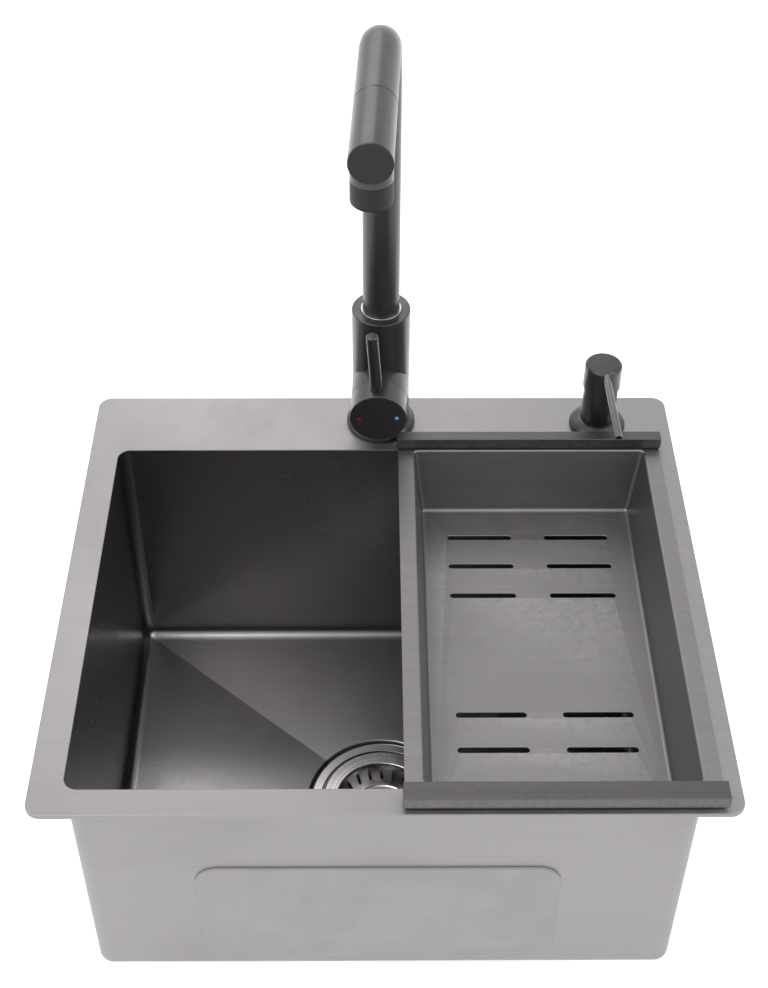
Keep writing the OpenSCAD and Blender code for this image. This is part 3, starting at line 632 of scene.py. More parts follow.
def make_settle() -> bpy.types.NodeTree:
    """A mask of faces that look up, where dust and dried water settle.

    Returns:
        The node group.
    """
    sketch, source, end = effect_tree(Effect.SETTLE, {"Vector": None, "Amount": 0.3}, ("Mask",))
    geometry = sketch.add("ShaderNodeNewGeometry")
    up = sketch.add("ShaderNodeSeparateXYZ", {0: geometry.outputs["True Normal"]}).outputs["Z"]
    noise = sketch.add("ShaderNodeTexNoise", {"Vector": source["Vector"], "Scale": 60.0, "Detail": 6.0})
    patch = sketch.math("MULTIPLY", sketch.spread(noise.outputs[0], 0.42, 0.72), sketch.spread(up, 0.5, 0.95))
    sketch.feed(end.inputs["Mask"], sketch.math("MULTIPLY", patch, source["Amount"]))
    return sketch.tree


EFFECTS: dict[Effect, Callable[[], bpy.types.NodeTree]] = {
    Effect.BRUSH: make_brush,
    Effect.CLOUD: make_cloud,
    Effect.SPECKLE: make_speckle,
    Effect.EDGE: make_edge,
    Effect.SETTLE: make_settle,
}


def grey(level: float, warm: float = 0.0) -> tuple[float, float, float, float]:
    """A near grey as a linear colour, a touch towards violet as the coated steel is.

    Args:
        level: its level as a screen shows it, 0 to 255.
        warm: how much redder than blue it is, in the same unit.

    Returns:
        The colour, with an alpha of 1.
    """

    def linear(v: float) -> float:
        """Undoes the screen's curve."""
        v = max(v, 0.0) / 255
        return v / 12.92 if v <= 0.04045 else ((v + 0.055) / 1.055) ** 2.4

    return (linear(level + warm / 2 + 1), linear(level - 2), linear(level - warm / 2 + 1), 1.0)


class Grain(Enum):
    """Which way a brushed surface's lines run, as lines per metre on each axis."""

    ALONG_X = (14.0, 1500.0, 1500.0)
    TURNED = (60.0, 60.0, 2600.0)


class Paint:
    """A material under construction."""

    def __init__(self, name: str) -> None:
        """Starts a material with object coordinates to draw on.

        Args:
            name: the material's name.
        """
        self.material = bpy.data.materials.new(name)
        self.material.use_nodes = True
        self.sketch = Sketch(self.material.node_tree)
        self.where = self.sketch.add("ShaderNodeTexCoord").outputs["Object"]

    def effect(self, effect: Effect, **values: object) -> bpy.types.Node:
        """Places a shared effect, made on its first use.

        Args:
            effect: which effect.
            values: its inputs.

        Returns:
            The group node.
        """
        tree = bpy.data.node_groups.get(effect.value) or EFFECTS[effect]()
        node = self.sketch.add("ShaderNodeGroup", node_tree=tree)
        for key, value in {"Vector": self.where, **values}.items():
            self.sketch.feed(node.inputs[key], value)
        return node

    def finish(
        self, constants: dict, height: Optional[object] = None, depth: float = 0.0, strength: float = 0.4
    ) -> bpy.types.Material:
        """Adds the surface shader.

        Args:
            constants: the shader's inputs, as constants or sockets.
            height: a relief that bends the surface's normal.
            depth: the relief's depth in metres.
            strength: how strongly it shows.

        Returns:
            The material.
        """
        if height is not None:
            bump = self.sketch.add("ShaderNodeBump", {"Height": height, "Distance": depth, "Strength": strength})
            constants = {**constants, "Normal": bump.outputs[0]}
        shader = self.sketch.add("ShaderNodeBsdfPrincipled", constants)
        self.sketch.add("ShaderNodeOutputMaterial", {"Surface": shader.outputs[0]})
        return self.material


@dataclass(frozen=True)
class Steel:
    """Sheet steel, bare or coated, with brushed lines."""

    level: float
    grain: Grain = Grain.ALONG_X
    roughness: float = 0.34
    line: float = 0.12
    cloud: float = 0.06
    edge: float = 0.0
    relief: float = 0.35

    def material(self, name: str) -> bpy.types.Material:
        """Makes the material.

        Args:
            name: its name.

        Returns:
            The material.
        """
        paint = Paint(name)
        sketch = paint.sketch
        brush = paint.effect(Effect.BRUSH, Stretch=self.grain.value)
        cloud = paint.effect(Effect.CLOUD, Scale=7.0).outputs["Value"]
        settle = paint.effect(Effect.SETTLE, Amount=0.25).outputs["Mask"]
        low, high = (grey(self.level * (1 + sign * self.line)) for sign in (-1, 1))
        colour = sketch.blend(brush.outputs["Line"], low, high)
        colour = sketch.blend(sketch.math("MULTIPLY", cloud, self.cloud * 2), colour, grey(self.level * 0.8))
        colour = sketch.blend(sketch.math("MULTIPLY", settle, 0.3), colour, grey(self.level * 1.12 + 6, 4))
        if self.edge:
            worn = paint.effect(Effect.EDGE).outputs["Mask"]
            colour = sketch.blend(sketch.math("MULTIPLY", worn, self.edge), colour, grey(self.level * 1.35 + 20))
        colour = self.tone(paint, colour)
        rough = sketch.math("MULTIPLY_ADD", brush.outputs["Line"], self.line * 1.6, self.roughness - self.line * 0.8)
        rough = sketch.math("MULTIPLY_ADD", cloud, 0.07, rough)
        rough = sketch.math("ADD", rough, sketch.math("MULTIPLY", settle, 0.2), clamp=True)
        return paint.finish(
            {"Base Color": colour, "Metallic": 1.0, "Roughness": rough},
            brush.outputs["Line"],
            0.00002,
            self.relief,
        )

    def tone(self, paint: Paint, colour: bpy.types.NodeSocket) -> bpy.types.NodeSocket:
        """Leaves the colour as it is; the pressed and turned finishes paint light and shade here."""
        return colour


def from_drain(paint: Paint, drain: tuple[float, float]) -> tuple[bpy.types.NodeSocket, ...]:
    """Measures a point of the surface from the drain.

    Args:
        paint: the material.
        drain: the drain's place, in millimetres.

    Returns:
        How far it is to the right, how far back, and its height, in metres.
    """
    sketch = paint.sketch
    where = sketch.add("ShaderNodeSeparateXYZ", {0: paint.where}).outputs
    right, back = (sketch.math("SUBTRACT", where[axis], at * MM) for axis, at in zip("XY", drain))
    return right, back, where["Z"]


@dataclass(frozen=True)
class PressedSteel(Steel):
    """A coated bowl whose floor planes carry painted light, different on each side of a crease."""

    drain: tuple[float, float] = (0.0, 0.0)
    corner: tuple[float, float] = (193.0, 162.2)
    floor_z: float = -208.8
    # light: how strongly the painted light lifts the floor planes
    light: float = 0.5
    reach: float = 0.12
    lean: float = 0.77
    crease: float = 0.0012

    def tone(self, paint: Paint, colour: bpy.types.NodeSocket) -> bpy.types.NodeSocket:
        """Paints light on the rear plane beside its creases, and on the side planes away from them.

        Args:
            paint: the material.
            colour: its colour so far.

        Returns:
            The shaded colour.
        """
        sketch = paint.sketch
        right, back, height = from_drain(paint, self.drain)
        across = sketch.math("ABSOLUTE", right)
        slope = self.corner[1] / self.corner[0]
        past = sketch.math("SUBTRACT", back, sketch.math("MULTIPLY", across, slope))
        past = sketch.math("MULTIPLY", past, self.lean)
        rear = sketch.math("MULTIPLY", sketch.spread(past, 0.0, self.crease), sketch.spread(past, self.reach, 0.0))
        side = sketch.math("MULTIPLY", sketch.spread(past, -0.002, -self.reach), 0.9)
        low = sketch.spread(height, (self.floor_z + 7) * MM, (self.floor_z + 2) * MM)
        # painted light: the rear and side masks lighten the floor planes near the floor
        amount = sketch.math("MULTIPLY", sketch.math("MAXIMUM", rear, side), sketch.math("MULTIPLY", low, self.light))
        return sketch.blend(amount, colour, grey(self.level * 1.5))


@dataclass(frozen=True)
class TurnedSteel(Steel):
    """A polished ring around the drain, with its turning marks and painted shade in its groove and cone."""

    centre: tuple[float, float] = (0.0, 0.0)
    groove: tuple[float, float] = (45.4, 48.4)
    cone: tuple[float, float] = (26.5, 36.0)
    marks: float = 0.32
    # groove_shade and cone_shade: the strength of the painted shade in each
    groove_shade: float = 0.85
    cone_shade: float = 0.55

    def tone(self, paint: Paint, colour: bpy.types.NodeSocket) -> bpy.types.NodeSocket:
        """Draws the turning marks, and paints shade into the groove and the cone.

        Args:
            paint: the material.
            colour: its colour so far.

        Returns:
            The shaded colour.
        """
        sketch = paint.sketch
        across, back, _ = from_drain(paint, self.centre)
        radius = sketch.math(
            "SQRT", sketch.math("ADD", sketch.math("MULTIPLY", across, across), sketch.math("MULTIPLY", back, back))
        )
        marks = sketch.add("ShaderNodeTexNoise", {"W": radius, "Scale": 900.0, "Detail": 2.0}, noise_dimensions="1D")
        marks_and_painted_shade = sketch.math("MULTIPLY", sketch.spread(marks.outputs[0], 0.42, 0.62), self.marks)
        # painted shade: the groove and the cone are darkened towards a quarter of the level
        for (low, high), depth in ((self.groove, self.groove_shade), (self.cone, self.cone_shade)):
            inside = sketch.math(
                "MULTIPLY",
                sketch.spread(radius, (low - 0.3) * MM, (low + 0.3) * MM),
                sketch.spread(radius, (high + 0.3) * MM, (high - 0.3) * MM),
            )
            marks_and_painted_shade = sketch.math("MAXIMUM", marks_and_painted_shade, sketch.math("MULTIPLY", inside, depth))
        return sketch.blend(marks_and_painted_shade, colour, grey(self.level * 0.25))


@dataclass(frozen=True)
class Coating:
    """A sprayed or plated dark coating with rubbed edges."""

    level: float
    roughness: float = 0.42
    warm: float = 0.0
    metallic: float = 0.0
    coat: float = 0.15
    peel: float = 1400.0
    edge: float = 0.3

    def material(self, name: str) -> bpy.types.Material:
        """Makes the material.

        Args:
            name: its name.

        Returns:
            The material.
        """
        paint = Paint(name)
        sketch = paint.sketch
        speckle = paint.effect(Effect.SPECKLE, Scale=self.peel)
        cloud = paint.effect(Effect.CLOUD, Scale=14.0).outputs["Value"]
        worn = paint.effect(Effect.EDGE).outputs["Mask"]
        settle = paint.effect(Effect.SETTLE, Amount=0.35).outputs["Mask"]
        colour = sketch.blend(cloud, grey(self.level * 0.94, self.warm), grey(self.level * 1.06, self.warm))
        colour = sketch.blend(
            sketch.math("MULTIPLY", speckle.outputs["Fleck"], 0.25), colour, grey(self.level * 1.3 + 6, self.warm)
        )
        colour = sketch.blend(sketch.math("MULTIPLY", worn, self.edge), colour, grey(self.level * 1.7 + 25))
        colour = sketch.blend(sketch.math("MULTIPLY", settle, 0.12), colour, grey(150, 6))
        rough = sketch.math("MULTIPLY_ADD", cloud, 0.08, self.roughness - 0.04)
        rough = sketch.math("MULTIPLY_ADD", worn, -0.1, rough, clamp=True)
        return paint.finish(
            {
                "Base Color": colour,
                "Metallic": self.metallic,
                "Roughness": rough,
                "Coat Weight": self.coat,
                "Coat Roughness": 0.3,
            },
            speckle.outputs["Height"],
            0.00004,
            0.25,
        )


@dataclass(frozen=True)
class Moulded:
    """Moulded plastic, rubber or ceramic."""

    colour: tuple[float, float, float, float]
    roughness: float = 0.5
    texture: float = 900.0
    depth: float = 0.00005
    see_through: float = 0.0
    specular: float = 0.5

    def material(self, name: str) -> bpy.types.Material:
        """Makes the material.

        Args:
            name: its name.

        Returns:
            The material.
        """
        paint = Paint(name)
        sketch = paint.sketch
        speckle = paint.effect(Effect.SPECKLE, Scale=self.texture)
        cloud = paint.effect(Effect.CLOUD, Scale=25.0).outputs["Value"]
        worn = paint.effect(Effect.EDGE).outputs["Mask"]
        settle = paint.effect(Effect.SETTLE, Amount=0.3).outputs["Mask"]
        dark = tuple(c * 0.88 for c in self.colour[:3]) + (1.0,)
        light = tuple(min(c * 1.15 + 0.01, 1.0) for c in self.colour[:3]) + (1.0,)
        colour = sketch.blend(cloud, dark, self.colour)
        colour = sketch.blend(sketch.math("MULTIPLY", worn, 0.6), colour, light)
        colour = sketch.blend(sketch.math("MULTIPLY", settle, 0.15), colour, grey(165, 6))
        rough = sketch.math("MULTIPLY_ADD", cloud, 0.1, self.roughness - 0.05, clamp=True)
        return paint.finish(
            {
                "Base Color": colour,
                "Roughness": rough,
                "Specular IOR Level": self.specular,
                "Subsurface Weight": self.see_through,
                "Subsurface Radius": (0.004, 0.004, 0.004),
                "Subsurface Scale": 1.0,
            },
            speckle.outputs["Height"],
            self.depth,
            0.3,
        )


@dataclass(frozen=True)
class Braid:
    """The braided sleeve of the spray hose, woven round the arm's axis."""

    level: float
    radius: float
    arm: Matrix

    def material(self, name: str) -> bpy.types.Material:
        """Makes the material.

        Args:
            name: its name.

        Returns:
            The material.
        """
        paint = Paint(name)
        sketch = paint.sketch
        turn = self.arm.to_3x3()
        dots = [
            sketch.add("ShaderNodeVectorMath", {0: paint.where, 1: tuple(turn.col[axis])}, operation="DOT_PRODUCT")
            for axis in range(3)
        ]
        away = [dot.outputs["Value"] for dot in dots]
        centre = turn.transposed() @ (self.arm.translation * MM)
        x = sketch.math("SUBTRACT", away[0], centre.x)
        y = sketch.math("SUBTRACT", away[1], centre.y)
        round_it = sketch.math("MULTIPLY", sketch.math("ARCTAN2", y, x), 6.0)
        along = sketch.math("MULTIPLY", away[2], 6.0 / (self.radius * MM))
        turns = [sketch.math("MULTIPLY", sketch.math(sign, round_it, along), 0.5) for sign in ("ADD", "SUBTRACT")]
        strands = [sketch.math("ABSOLUTE", sketch.math("SINE", turn_by)) for turn_by in turns]
        weave = sketch.math("MAXIMUM", *strands)
        fibre = paint.effect(Effect.SPECKLE, Scale=2600.0)
        colour = sketch.blend(weave, grey(self.level * 0.55), grey(self.level * 1.2))
        colour = sketch.blend(sketch.math("MULTIPLY", fibre.outputs["Fleck"], 0.3), colour, grey(self.level * 1.6))
        height = sketch.math("MULTIPLY_ADD", fibre.outputs["Height"], 0.15, weave)
        return paint.finish({"Base Color": colour, "Roughness": 0.6, "Sheen Weight": 0.2}, height, 0.0004, 0.8)


# Where things stand


@dataclass(frozen=True)
class Layout:
    """The places that the sub-assemblies share."""

    rim_t: float = 3.0
    bowl_t: float = 1.2
    open_x: float = 203.0
    open_front: float = -179.6
    open_back: float = 137.7
    seat_z: float = -216.3
    drain: tuple[float, float] = (-1.0, -33.45)
    tap: tuple[float, float] = (-1.2, 172.3)
    tap_turn: float = 2.6
    housing_z: float = 50.0
    pivot: float = 24.9
    lever_lean: float = 4.0
    arm_z: float = 339.5
    nozzle_axis: float = 152.4
    pump: tuple[float, float] = (168.4, 168.0)

    def at_tap(self, x: float = 0.0, y: float = 0.0, z: float = 0.0) -> Matrix:
        """The tap's axis, turned as the tap stands, moved within its own frame."""
        turn = Matrix.Rotation(math.radians(-self.tap_turn), 4, "Z")
        return Matrix.Translation((*self.tap, 0)) @ turn @ Matrix.Translation((x, y, z))

    def at_lever(self) -> Matrix:
        """The stem's pivot, with Z out of the handle cap and Y the way the lever leans."""
        lean = Matrix.Rotation(math.radians(self.lever_lean), 4, "Z")
        return self.at_tap(0, -self.pivot, self.housing_z) @ Matrix.Rotation(RIGHT_ANGLE, 4, "X") @ lean

    def on_arm(self) -> Matrix:
        """The arm's axis, with Z out along it from the tap's axis."""
        return self.at_tap(0, 0, self.arm_z) @ Matrix.Rotation(RIGHT_ANGLE, 4, "X")

    def at_pump(self, z: float = 0.0) -> Matrix:
        """The dispenser's axis."""
        return Matrix.Translation((*self.pump, z))

    def at_drain(self) -> Matrix:
        """The strainer's axis, at its seat in the floor."""
        return Matrix.Translation((*self.drain, self.seat_z))


LAYOUT = Layout()


class Finishes:
    """The finish of each material slot, made when first asked for."""

    def __init__(self) -> None:
        """Lists the finishes by the record's slot, and by name for a second skin."""
        self.by_slot = {
            "brushed_pale_steel": Steel(149, Grain.ALONG_X, 0.42, 0.02, 0.04, relief=0.12),
            # the bowl's coating, with painted light on its floor planes
            "coated_dark_steel": PressedSteel(126, Grain.ALONG_X, 0.26, 0.01, 0.06, relief=0.01, drain=LAYOUT.drain),
            "brushed_dark_steel": Steel(132, Grain.ALONG_X, 0.42, 0.04, 0.05, edge=0.25, relief=0.2),
            "rail_steel": Steel(92, Grain.ALONG_X, 0.36, 0.05, 0.03, edge=0.3, relief=0.1),
            "bush_steel": Steel(180, Grain.TURNED, 0.24, 0.03, 0.02),
            "sound_pad": Moulded(grey(188), 0.62, 700.0, 0.00012),
            # the strainer's steel: real turning marks, with painted shade in its groove and cone
            "polished_steel": TurnedSteel(222, Grain.TURNED, 0.18, 0.03, 0.02, centre=LAYOUT.drain),
            "plain_steel": Steel(190, Grain.TURNED, 0.3, 0.04, 0.06),
            "turned_brass": Coating(175, 0.32, 70, 1.0, 0.0, 900.0, 0.2),
            "tap_black": Coating(53, 0.34, 2, 0.65, 0.5, 1500.0, 0.08),
            "pipe_black": Coating(100, 0.26, 2, 0.8, 0.35, 1500.0, 0.15),
            # painted shade: a darker copy of tap_black for the spray head's end face
            "tap_end_painted_shade": Coating(33, 0.45, 2, 0.4, 0.05, 1500.0, 0.6),
            "nozzle_plastic": Moulded(grey(40), 0.5, 1200.0, specular=0.3),
            "aerator_plastic": Moulded(grey(150), 0.5, 1200.0),
            "grey_plastic": Moulded(grey(133), 0.5),
            "ivory_plastic": Moulded(grey(218, 12), 0.42),
            "bottle_plastic": Moulded(grey(228, 8), 0.38, 500.0, 0.0001, 0.35),
            "black_rubber": Moulded(grey(38), 0.72, 1100.0, 0.00012, 0.0, 0.35),
            "hose_nylon": Braid(92, 4.8, LAYOUT.on_arm()),
            "ceramic": Moulded(grey(240, 3), 0.2, 1500.0, 0.00001),
            "red_mark": Moulded((0.3, 0.015, 0.025, 1.0), 0.3, 1500.0, 0.00001),
            "blue_mark": Moulded((0.1, 0.5, 0.85, 1.0), 0.25, 1500.0, 0.00001),
        }
        self.made: dict[str, bpy.types.Material] = {}

    def get(self, slot: str) -> bpy.types.Material:
        """The material of a slot."""
        if slot not in self.made:
            self.made[slot] = self.by_slot[slot].material(slot)
        return self.made[slot]


FINISHES = Finishes()
NODE_SLOTS = {part["node"]: part["material_slot"] for part in frame["record"]["subparts"]}


def place(
    piece: bpy.types.Object, body: str, slot: str, *nodes: str, skins: Sequence[str] = ()
) -> bpy.types.Object:
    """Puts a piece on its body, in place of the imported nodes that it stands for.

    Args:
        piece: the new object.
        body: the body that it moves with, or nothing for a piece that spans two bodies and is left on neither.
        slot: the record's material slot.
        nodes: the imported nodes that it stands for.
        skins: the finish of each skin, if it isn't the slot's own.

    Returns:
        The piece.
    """
    for skin in skins or (slot,):
        piece.data.materials.append(FINISHES.get(skin))
    if body:
        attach(piece, body)
        even_shading(piece)
    if nodes:
        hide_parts(*nodes)
    LOG.info("%s rides on %s, %d points", piece.name, body, len(piece.data.vertices))
    return piece


def lathe(
    name: str,
    outline: Sequence[Sequence[float]],
    where: Matrix,
    owner: tuple[str, str, str],
    sides: int = 128,
    shape: Optional[Radius] = None,
    skins: Sequence[str] = (),
) -> None:
    """Turns a piece and puts it on its body.

    Args:
        name: the piece's name.
        outline: its outline, as for turned().
        where: where its axis stands, in millimetres.
        owner: its body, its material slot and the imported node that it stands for.
        sides: the number of faces round the axis.
        shape: gives the radius from (radius, height, angle).
        skins: the finish of each skin, if it isn't the slot's own.
    """
    place(turned(name, outline, where, sides, shape=shape), *owner, skins=skins)


def thread(crest: float, depth: float, pitch: float, low: float, high: float) -> Radius:
    """The shape of a screw thread for turned().

    Args:
        crest: the thread's outer radius.
        depth: its depth.
        pitch: its pitch.
        low: where it starts.
        high: where it ends.

    Returns:
        A function that gives the radius from (radius, height, angle).
    """

    def shape(radius: float, height: float, angle: float) -> float:
        """Cuts the thread into the outer wall only."""
        if radius < crest - 1e-6 or not low <= height <= high:
            return radius
        phase = (height / pitch - angle / (2 * math.pi)) % 1.0
        fade = min(1.0, (height - low) / pitch, (high - height) / pitch)
        return crest - depth * fade * min(1.0, 2.6 * abs(phase - 0.5))

    return shape


def threaded_wall(radius: float, low: float, high: float, pitch: float) -> list[tuple[float, float]]:
    """Points up a wall, close enough together to hold a thread."""
    count = max(2, round((high - low) / pitch * 6))
    return [(radius, low + (high - low) * k / count) for k in range(count + 1)]


def soft_edge(low: float, high: float, under: float, over: float, steps: int = 4) -> list[tuple[float, float]]:
    """The rounded edge of a plate, from its underside to its top.

    Args:
        low: the underside's height.
        high: the top's height.
        under: the radius below.
        over: the radius above.
        steps: the number of faces round each.

    Returns:
        (inset, height) pairs.
    """
    turns = [RIGHT_ANGLE * k / steps for k in range(steps + 1)]
    lower = [(under * (1 - math.sin(a)), low + under * (1 - math.cos(a))) for a in turns]
    return lower + [(over * (1 - math.cos(a)), high - over * (1 - math.sin(a))) for a in turns]


def circle(x: float, y: float, radius: float, sides: int = 64) -> list[Vector]:
    """A flat circle."""
    return [Vector((x + radius * math.cos(a), y + radius * math.sin(a))) for a in angles(sides)]


Outline = Callable[[float], Sequence[Vector]]


def hole(x: float, y: float, radius: float, sides: int = 64) -> Outline:
    """A round hole that widens as its edge turns over."""
    return lambda inset: circle(x, y, radius + inset, sides)


def plate(
    name: str,
    where: Matrix,
    outline: Outline,
    profile: Sequence[tuple[float, float]],
    holes: Sequence[Outline] = (),
    hole_skin: int = 0,
) -> bpy.types.Object:
    """Builds a plate whose edges turn over softly, round its outside and its holes.

    Args:
        name: the piece's name.
        where: its place, in millimetres.
        outline: gives the outside for an inset.
        profile: (inset, height) pairs from the underside to the top.
        holes: each gives a hole's outline for an inset.
        hole_skin: the material slot of the first hole's wall.

    Returns:
        The new object.
    """
    shell = Shell(where)
    rims = []
    for number, shape in enumerate((outline, *holes)):
        rings = [shell.ring(at_height(shape(inset), z)) for inset, z in profile]
        shell.loft(rings, hole_skin if number == 1 else 0)
        rims.append(rings)
    for end in (0, -1):
        shell.fill(rims[0][end], [rings[end] for rings in rims[1:]])
    return shell.piece(name)


def lugs(radius: float, reach: float, count: int, width: float, first: float = 0.0) -> Radius:
    """The shape of a ring with grip lugs for turned().

    Args:
        radius: the ring's outer radius.
        reach: the lugs' outer radius.
        count: how many lugs there are.
        width: a lug's width.
        first: the first lug's angle.

    Returns:
        A function that gives the radius from (radius, height, angle).
    """
    half = width / 2 / reach

    def shape(r: float, _height: float, angle: float) -> float:
        """Raises the outer wall at each lug."""
        if r < radius - 0.8:
            return r
        pitch = 2 * math.pi / count
        away = abs((angle - first + pitch / 2) % pitch - pitch / 2)
        return r + (reach - radius) * min(1.0, max(0.0, (half + 0.02 - away) / 0.02))

    return shape


# The sink


@dataclass(frozen=True)
class RimPlate:
    """The brushed plate that rests on the worktop, with its opening and two holes."""

    half_x: float = 225.0
    half_y: float = 200.0
    corner: float = 10.0
    opening_corner: float = 9.0
    edge: float = 0.6
    tap_hole: float = 17.5
    pump_hole: float = 14.0

    def outside(self, inset: float) -> list[Vector]:
        """The plate's outer edge."""
        x, y = self.half_x - inset, self.half_y - inset
        return rounded_loop(-x, x, -y, y, self.corner - inset, 12)

    def opening(self, inset: float) -> list[Vector]:
        """The edge of the bowl's opening."""
        x = LAYOUT.open_x + inset
        front, back = LAYOUT.open_front - inset, LAYOUT.open_back + inset
        return rounded_loop(-x, x, front, back, self.opening_corner + inset, 12)

    def build(self) -> None:
        """Builds the plate; the opening's wall carries the bowl's coating."""
        holes = [self.opening, hole(*LAYOUT.tap, self.tap_hole), hole(*LAYOUT.pump, self.pump_hole)]
        edge = soft_edge(0, LAYOUT.rim_t, 0, self.edge)
        piece = plate("rim_plate", Matrix.Identity(4), self.outside, edge, holes, hole_skin=1)
        skins = ("brushed_pale_steel", "coated_dark_steel")
        place(piece, "sink", "brushed_pale_steel", "deck_plate", skins=skins)


@dataclass(frozen=True)
class Bowl:
    """The pressed bowl, whose floor falls in four planes to the drain."""

    bend: float = 9.0
    floor_z: float = -208.8
    fall: float = 5.3
    recess: float = 57.0
    drain_hole: float = 45.0
    turn_steps: int = 10
    side_steps: int = 12
    floor_rings: int = 12

    def corners(self) -> list[tuple[float, float]]:
        """The floor's corners, from the front right round to the front left."""
        x = LAYOUT.open_x - self.bend
        front, back = LAYOUT.open_front + self.bend, LAYOUT.open_back - self.bend
        return [(x, front), (x, back), (-x, back), (-x, front)]

    def outline(self, reach: float, turns: int) -> list[Vector]:
        """The wall's outline.

        Args:
            reach: how far it stands outside the floor's corners.
            turns: the number of faces round each corner, 0 for a square one.

        Returns:
            The points, with side_steps of them to each side.
        """
        ends = self.corners()
        made = []
        for n, (x, y) in enumerate(ends):
            fan = [RIGHT_ANGLE * (n - 1 + k / turns) for k in range(turns + 1)] if turns else [RIGHT_ANGLE * n]
            made += [Vector((x + reach * math.cos(a), y + reach * math.sin(a))) for a in fan]
            start, end = made[-1], Vector(ends[(n + 1) % 4])
            away = Vector((math.cos(RIGHT_ANGLE * n), math.sin(RIGHT_ANGLE * n))) * (reach if turns else 0)
            made += [start.lerp(end + away, k / self.side_steps) for k in range(1, self.side_steps)]
        return made

    def wall(self, shell: Shell, grow: float, skin: int) -> tuple[list[int], list[int]]:
        """Adds the walls, the bend at their foot and the floor.

        Args:
            shell: the shell to add to.
            grow: the sheet's thickness for the outside, 0 for the inside.
            skin: the material slot.

        Returns:
            The wall's top ring and the ring at the drain hole.
        """
        reach, low = self.bend + grow, self.floor_z + self.bend
        rings = [shell.ring(at_height(self.outline(reach, self.turn_steps), z)) for z in (0, -8, -60, -120, low + 8)]
        for k in range(self.turn_steps):
            angle = RIGHT_ANGLE * k / self.turn_steps
            loop = self.outline(reach * math.cos(angle), self.turn_steps)
            rings.append(shell.ring(at_height(loop, low - reach * math.sin(angle))))
        shell.loft(rings, skin)
        floor, drain = self.floor(shell, grow, skin)
        foot = []
        for n in range(4):
            side = floor[n * self.side_steps : (n + 1) * self.side_steps]
            foot += [side[0]] * self.turn_steps + side
        shell.bridge(rings[-1], foot, skin)
        return rings[0], drain

    def floor(self, shell: Shell, grow: float, skin: int) -> tuple[list[int], list[int]]:
        """Adds the four planes of the floor and the recess round the drain.

        Args:
            shell: the shell to add to.
            grow: the sheet's thickness for the underside, 0 for the inside.
            skin: the material slot.

        Returns:
            The floor's outer ring and the ring at the drain hole.
        """
        centre = Vector(LAYOUT.drain)
        edge = self.outline(0, 0)
        wall_r = self.recess + grow
        rings, height = [], []
        for step in range(self.floor_rings + 1):
            loop = []
            for p in edge:
                rim = centre + (p - centre).normalized() * (wall_r + 1.6)
                q = p.lerp(rim, step / self.floor_rings)
                share = (q - centre).length / (p - centre).length
                loop.append((q.x, q.y, self.floor_z - grow - self.fall * (1 - share)))
            rings.append(shell.ring(loop))
            height = [z for _, _, z in loop]
        for a, b in zip(rings, rings[1:]):
            shell.creases |= {frozenset((a[n * self.side_steps], b[n * self.side_steps])) for n in range(4)}
        seat = LAYOUT.seat_z - grow
        for out, sink in ((0.9, 0.06), (0.25, 0.2), (0, 0.42), (0, 0.62), (-0.3, 0.85), (-1.1, 1.0), (-11.4, 1.0)):
            loop = [centre + (p - centre).normalized() * (wall_r + out) for p in edge]
            rings.append(shell.ring([(q.x, q.y, z + (seat - z) * sink) for q, z in zip(loop, height)]))
        loop = [centre + (p - centre).normalized() * self.drain_hole for p in edge]
        rings.append(shell.ring(at_height(loop, seat)))
        shell.loft(rings, skin)
        return rings[0], rings[-1]

    def build(self) -> None:
        """Builds the bowl, coated inside and bare outside."""
        shell = Shell()
        inside, outside = self.wall(shell, 0, 0), self.wall(shell, LAYOUT.bowl_t, 1)
        for a, b in zip(inside, outside):
            shell.bridge(a, b)
        piece = shell.piece("bowl_shell", smooth=40)
        place(piece, "sink", "coated_dark_steel", "bowl", skins=("coated_dark_steel", "brushed_pale_steel"))


@dataclass(frozen=True)
class SoundPads:
    """The pads stuck to the bowl's walls."""

    thickness: float = 2.0
    corner: float = 16.0
    soft: float = 0.7
    front: tuple[float, float] = (-127.5, 118.5)
    side: tuple[float, float] = (-120.95, 79.05)
    rear: float = 110.0
    wall_z: tuple[float, float] = (-194.0, -84.0)

    def pad(self, name: str, where: Matrix, box: Sequence[float], node: str) -> None:
        """Builds one pad.

        Args:
            name: its name.
            where: its place; its back lies on the plane z = 0.
            box: its left, right, lowest and highest edges there.
            node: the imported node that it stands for.
        """
        x0, x1, y0, y1 = box

        def outline(inset: float) -> list[Vector]:
            """The pad's edge."""
            return rounded_loop(x0 + inset, x1 - inset, y0 + inset, y1 - inset, self.corner - inset)

        place(plate(name, where, outline, soft_edge(0, self.thickness, 0, self.soft)), "sink", "sound_pad", node)

    def build(self) -> None:
        """Builds the four pads on the walls."""
        stand = Matrix.Rotation(RIGHT_ANGLE, 4, "X")
        wall = LAYOUT.open_x + LAYOUT.bowl_t
        front = Matrix.Translation((0, LAYOUT.open_front - LAYOUT.bowl_t, 0)) @ stand
        self.pad("front_pad", front, (*self.front, *self.wall_z), "front_sound_pad")
        turn = Matrix.Rotation(math.pi, 4, "Z")
        rear = Matrix.Translation((0, LAYOUT.open_back + LAYOUT.bowl_t, 0)) @ turn @ stand
        self.pad("rear_pad", rear, (-self.rear, self.rear, *self.wall_z), "rear_sound_pad")
        for name, sign in (("left", -1), ("right", 1)):
            y0, y1 = self.side
            place_at = Matrix.Translation((sign * wall, 0, 0)) @ Matrix.Rotation(sign * RIGHT_ANGLE, 4, "Z") @ stand
            box = (y0, y1, *self.wall_z) if sign > 0 else (-y1, -y0, *self.wall_z)
            self.pad(f"{name}_pad", place_at, box, "side_sound_pads")


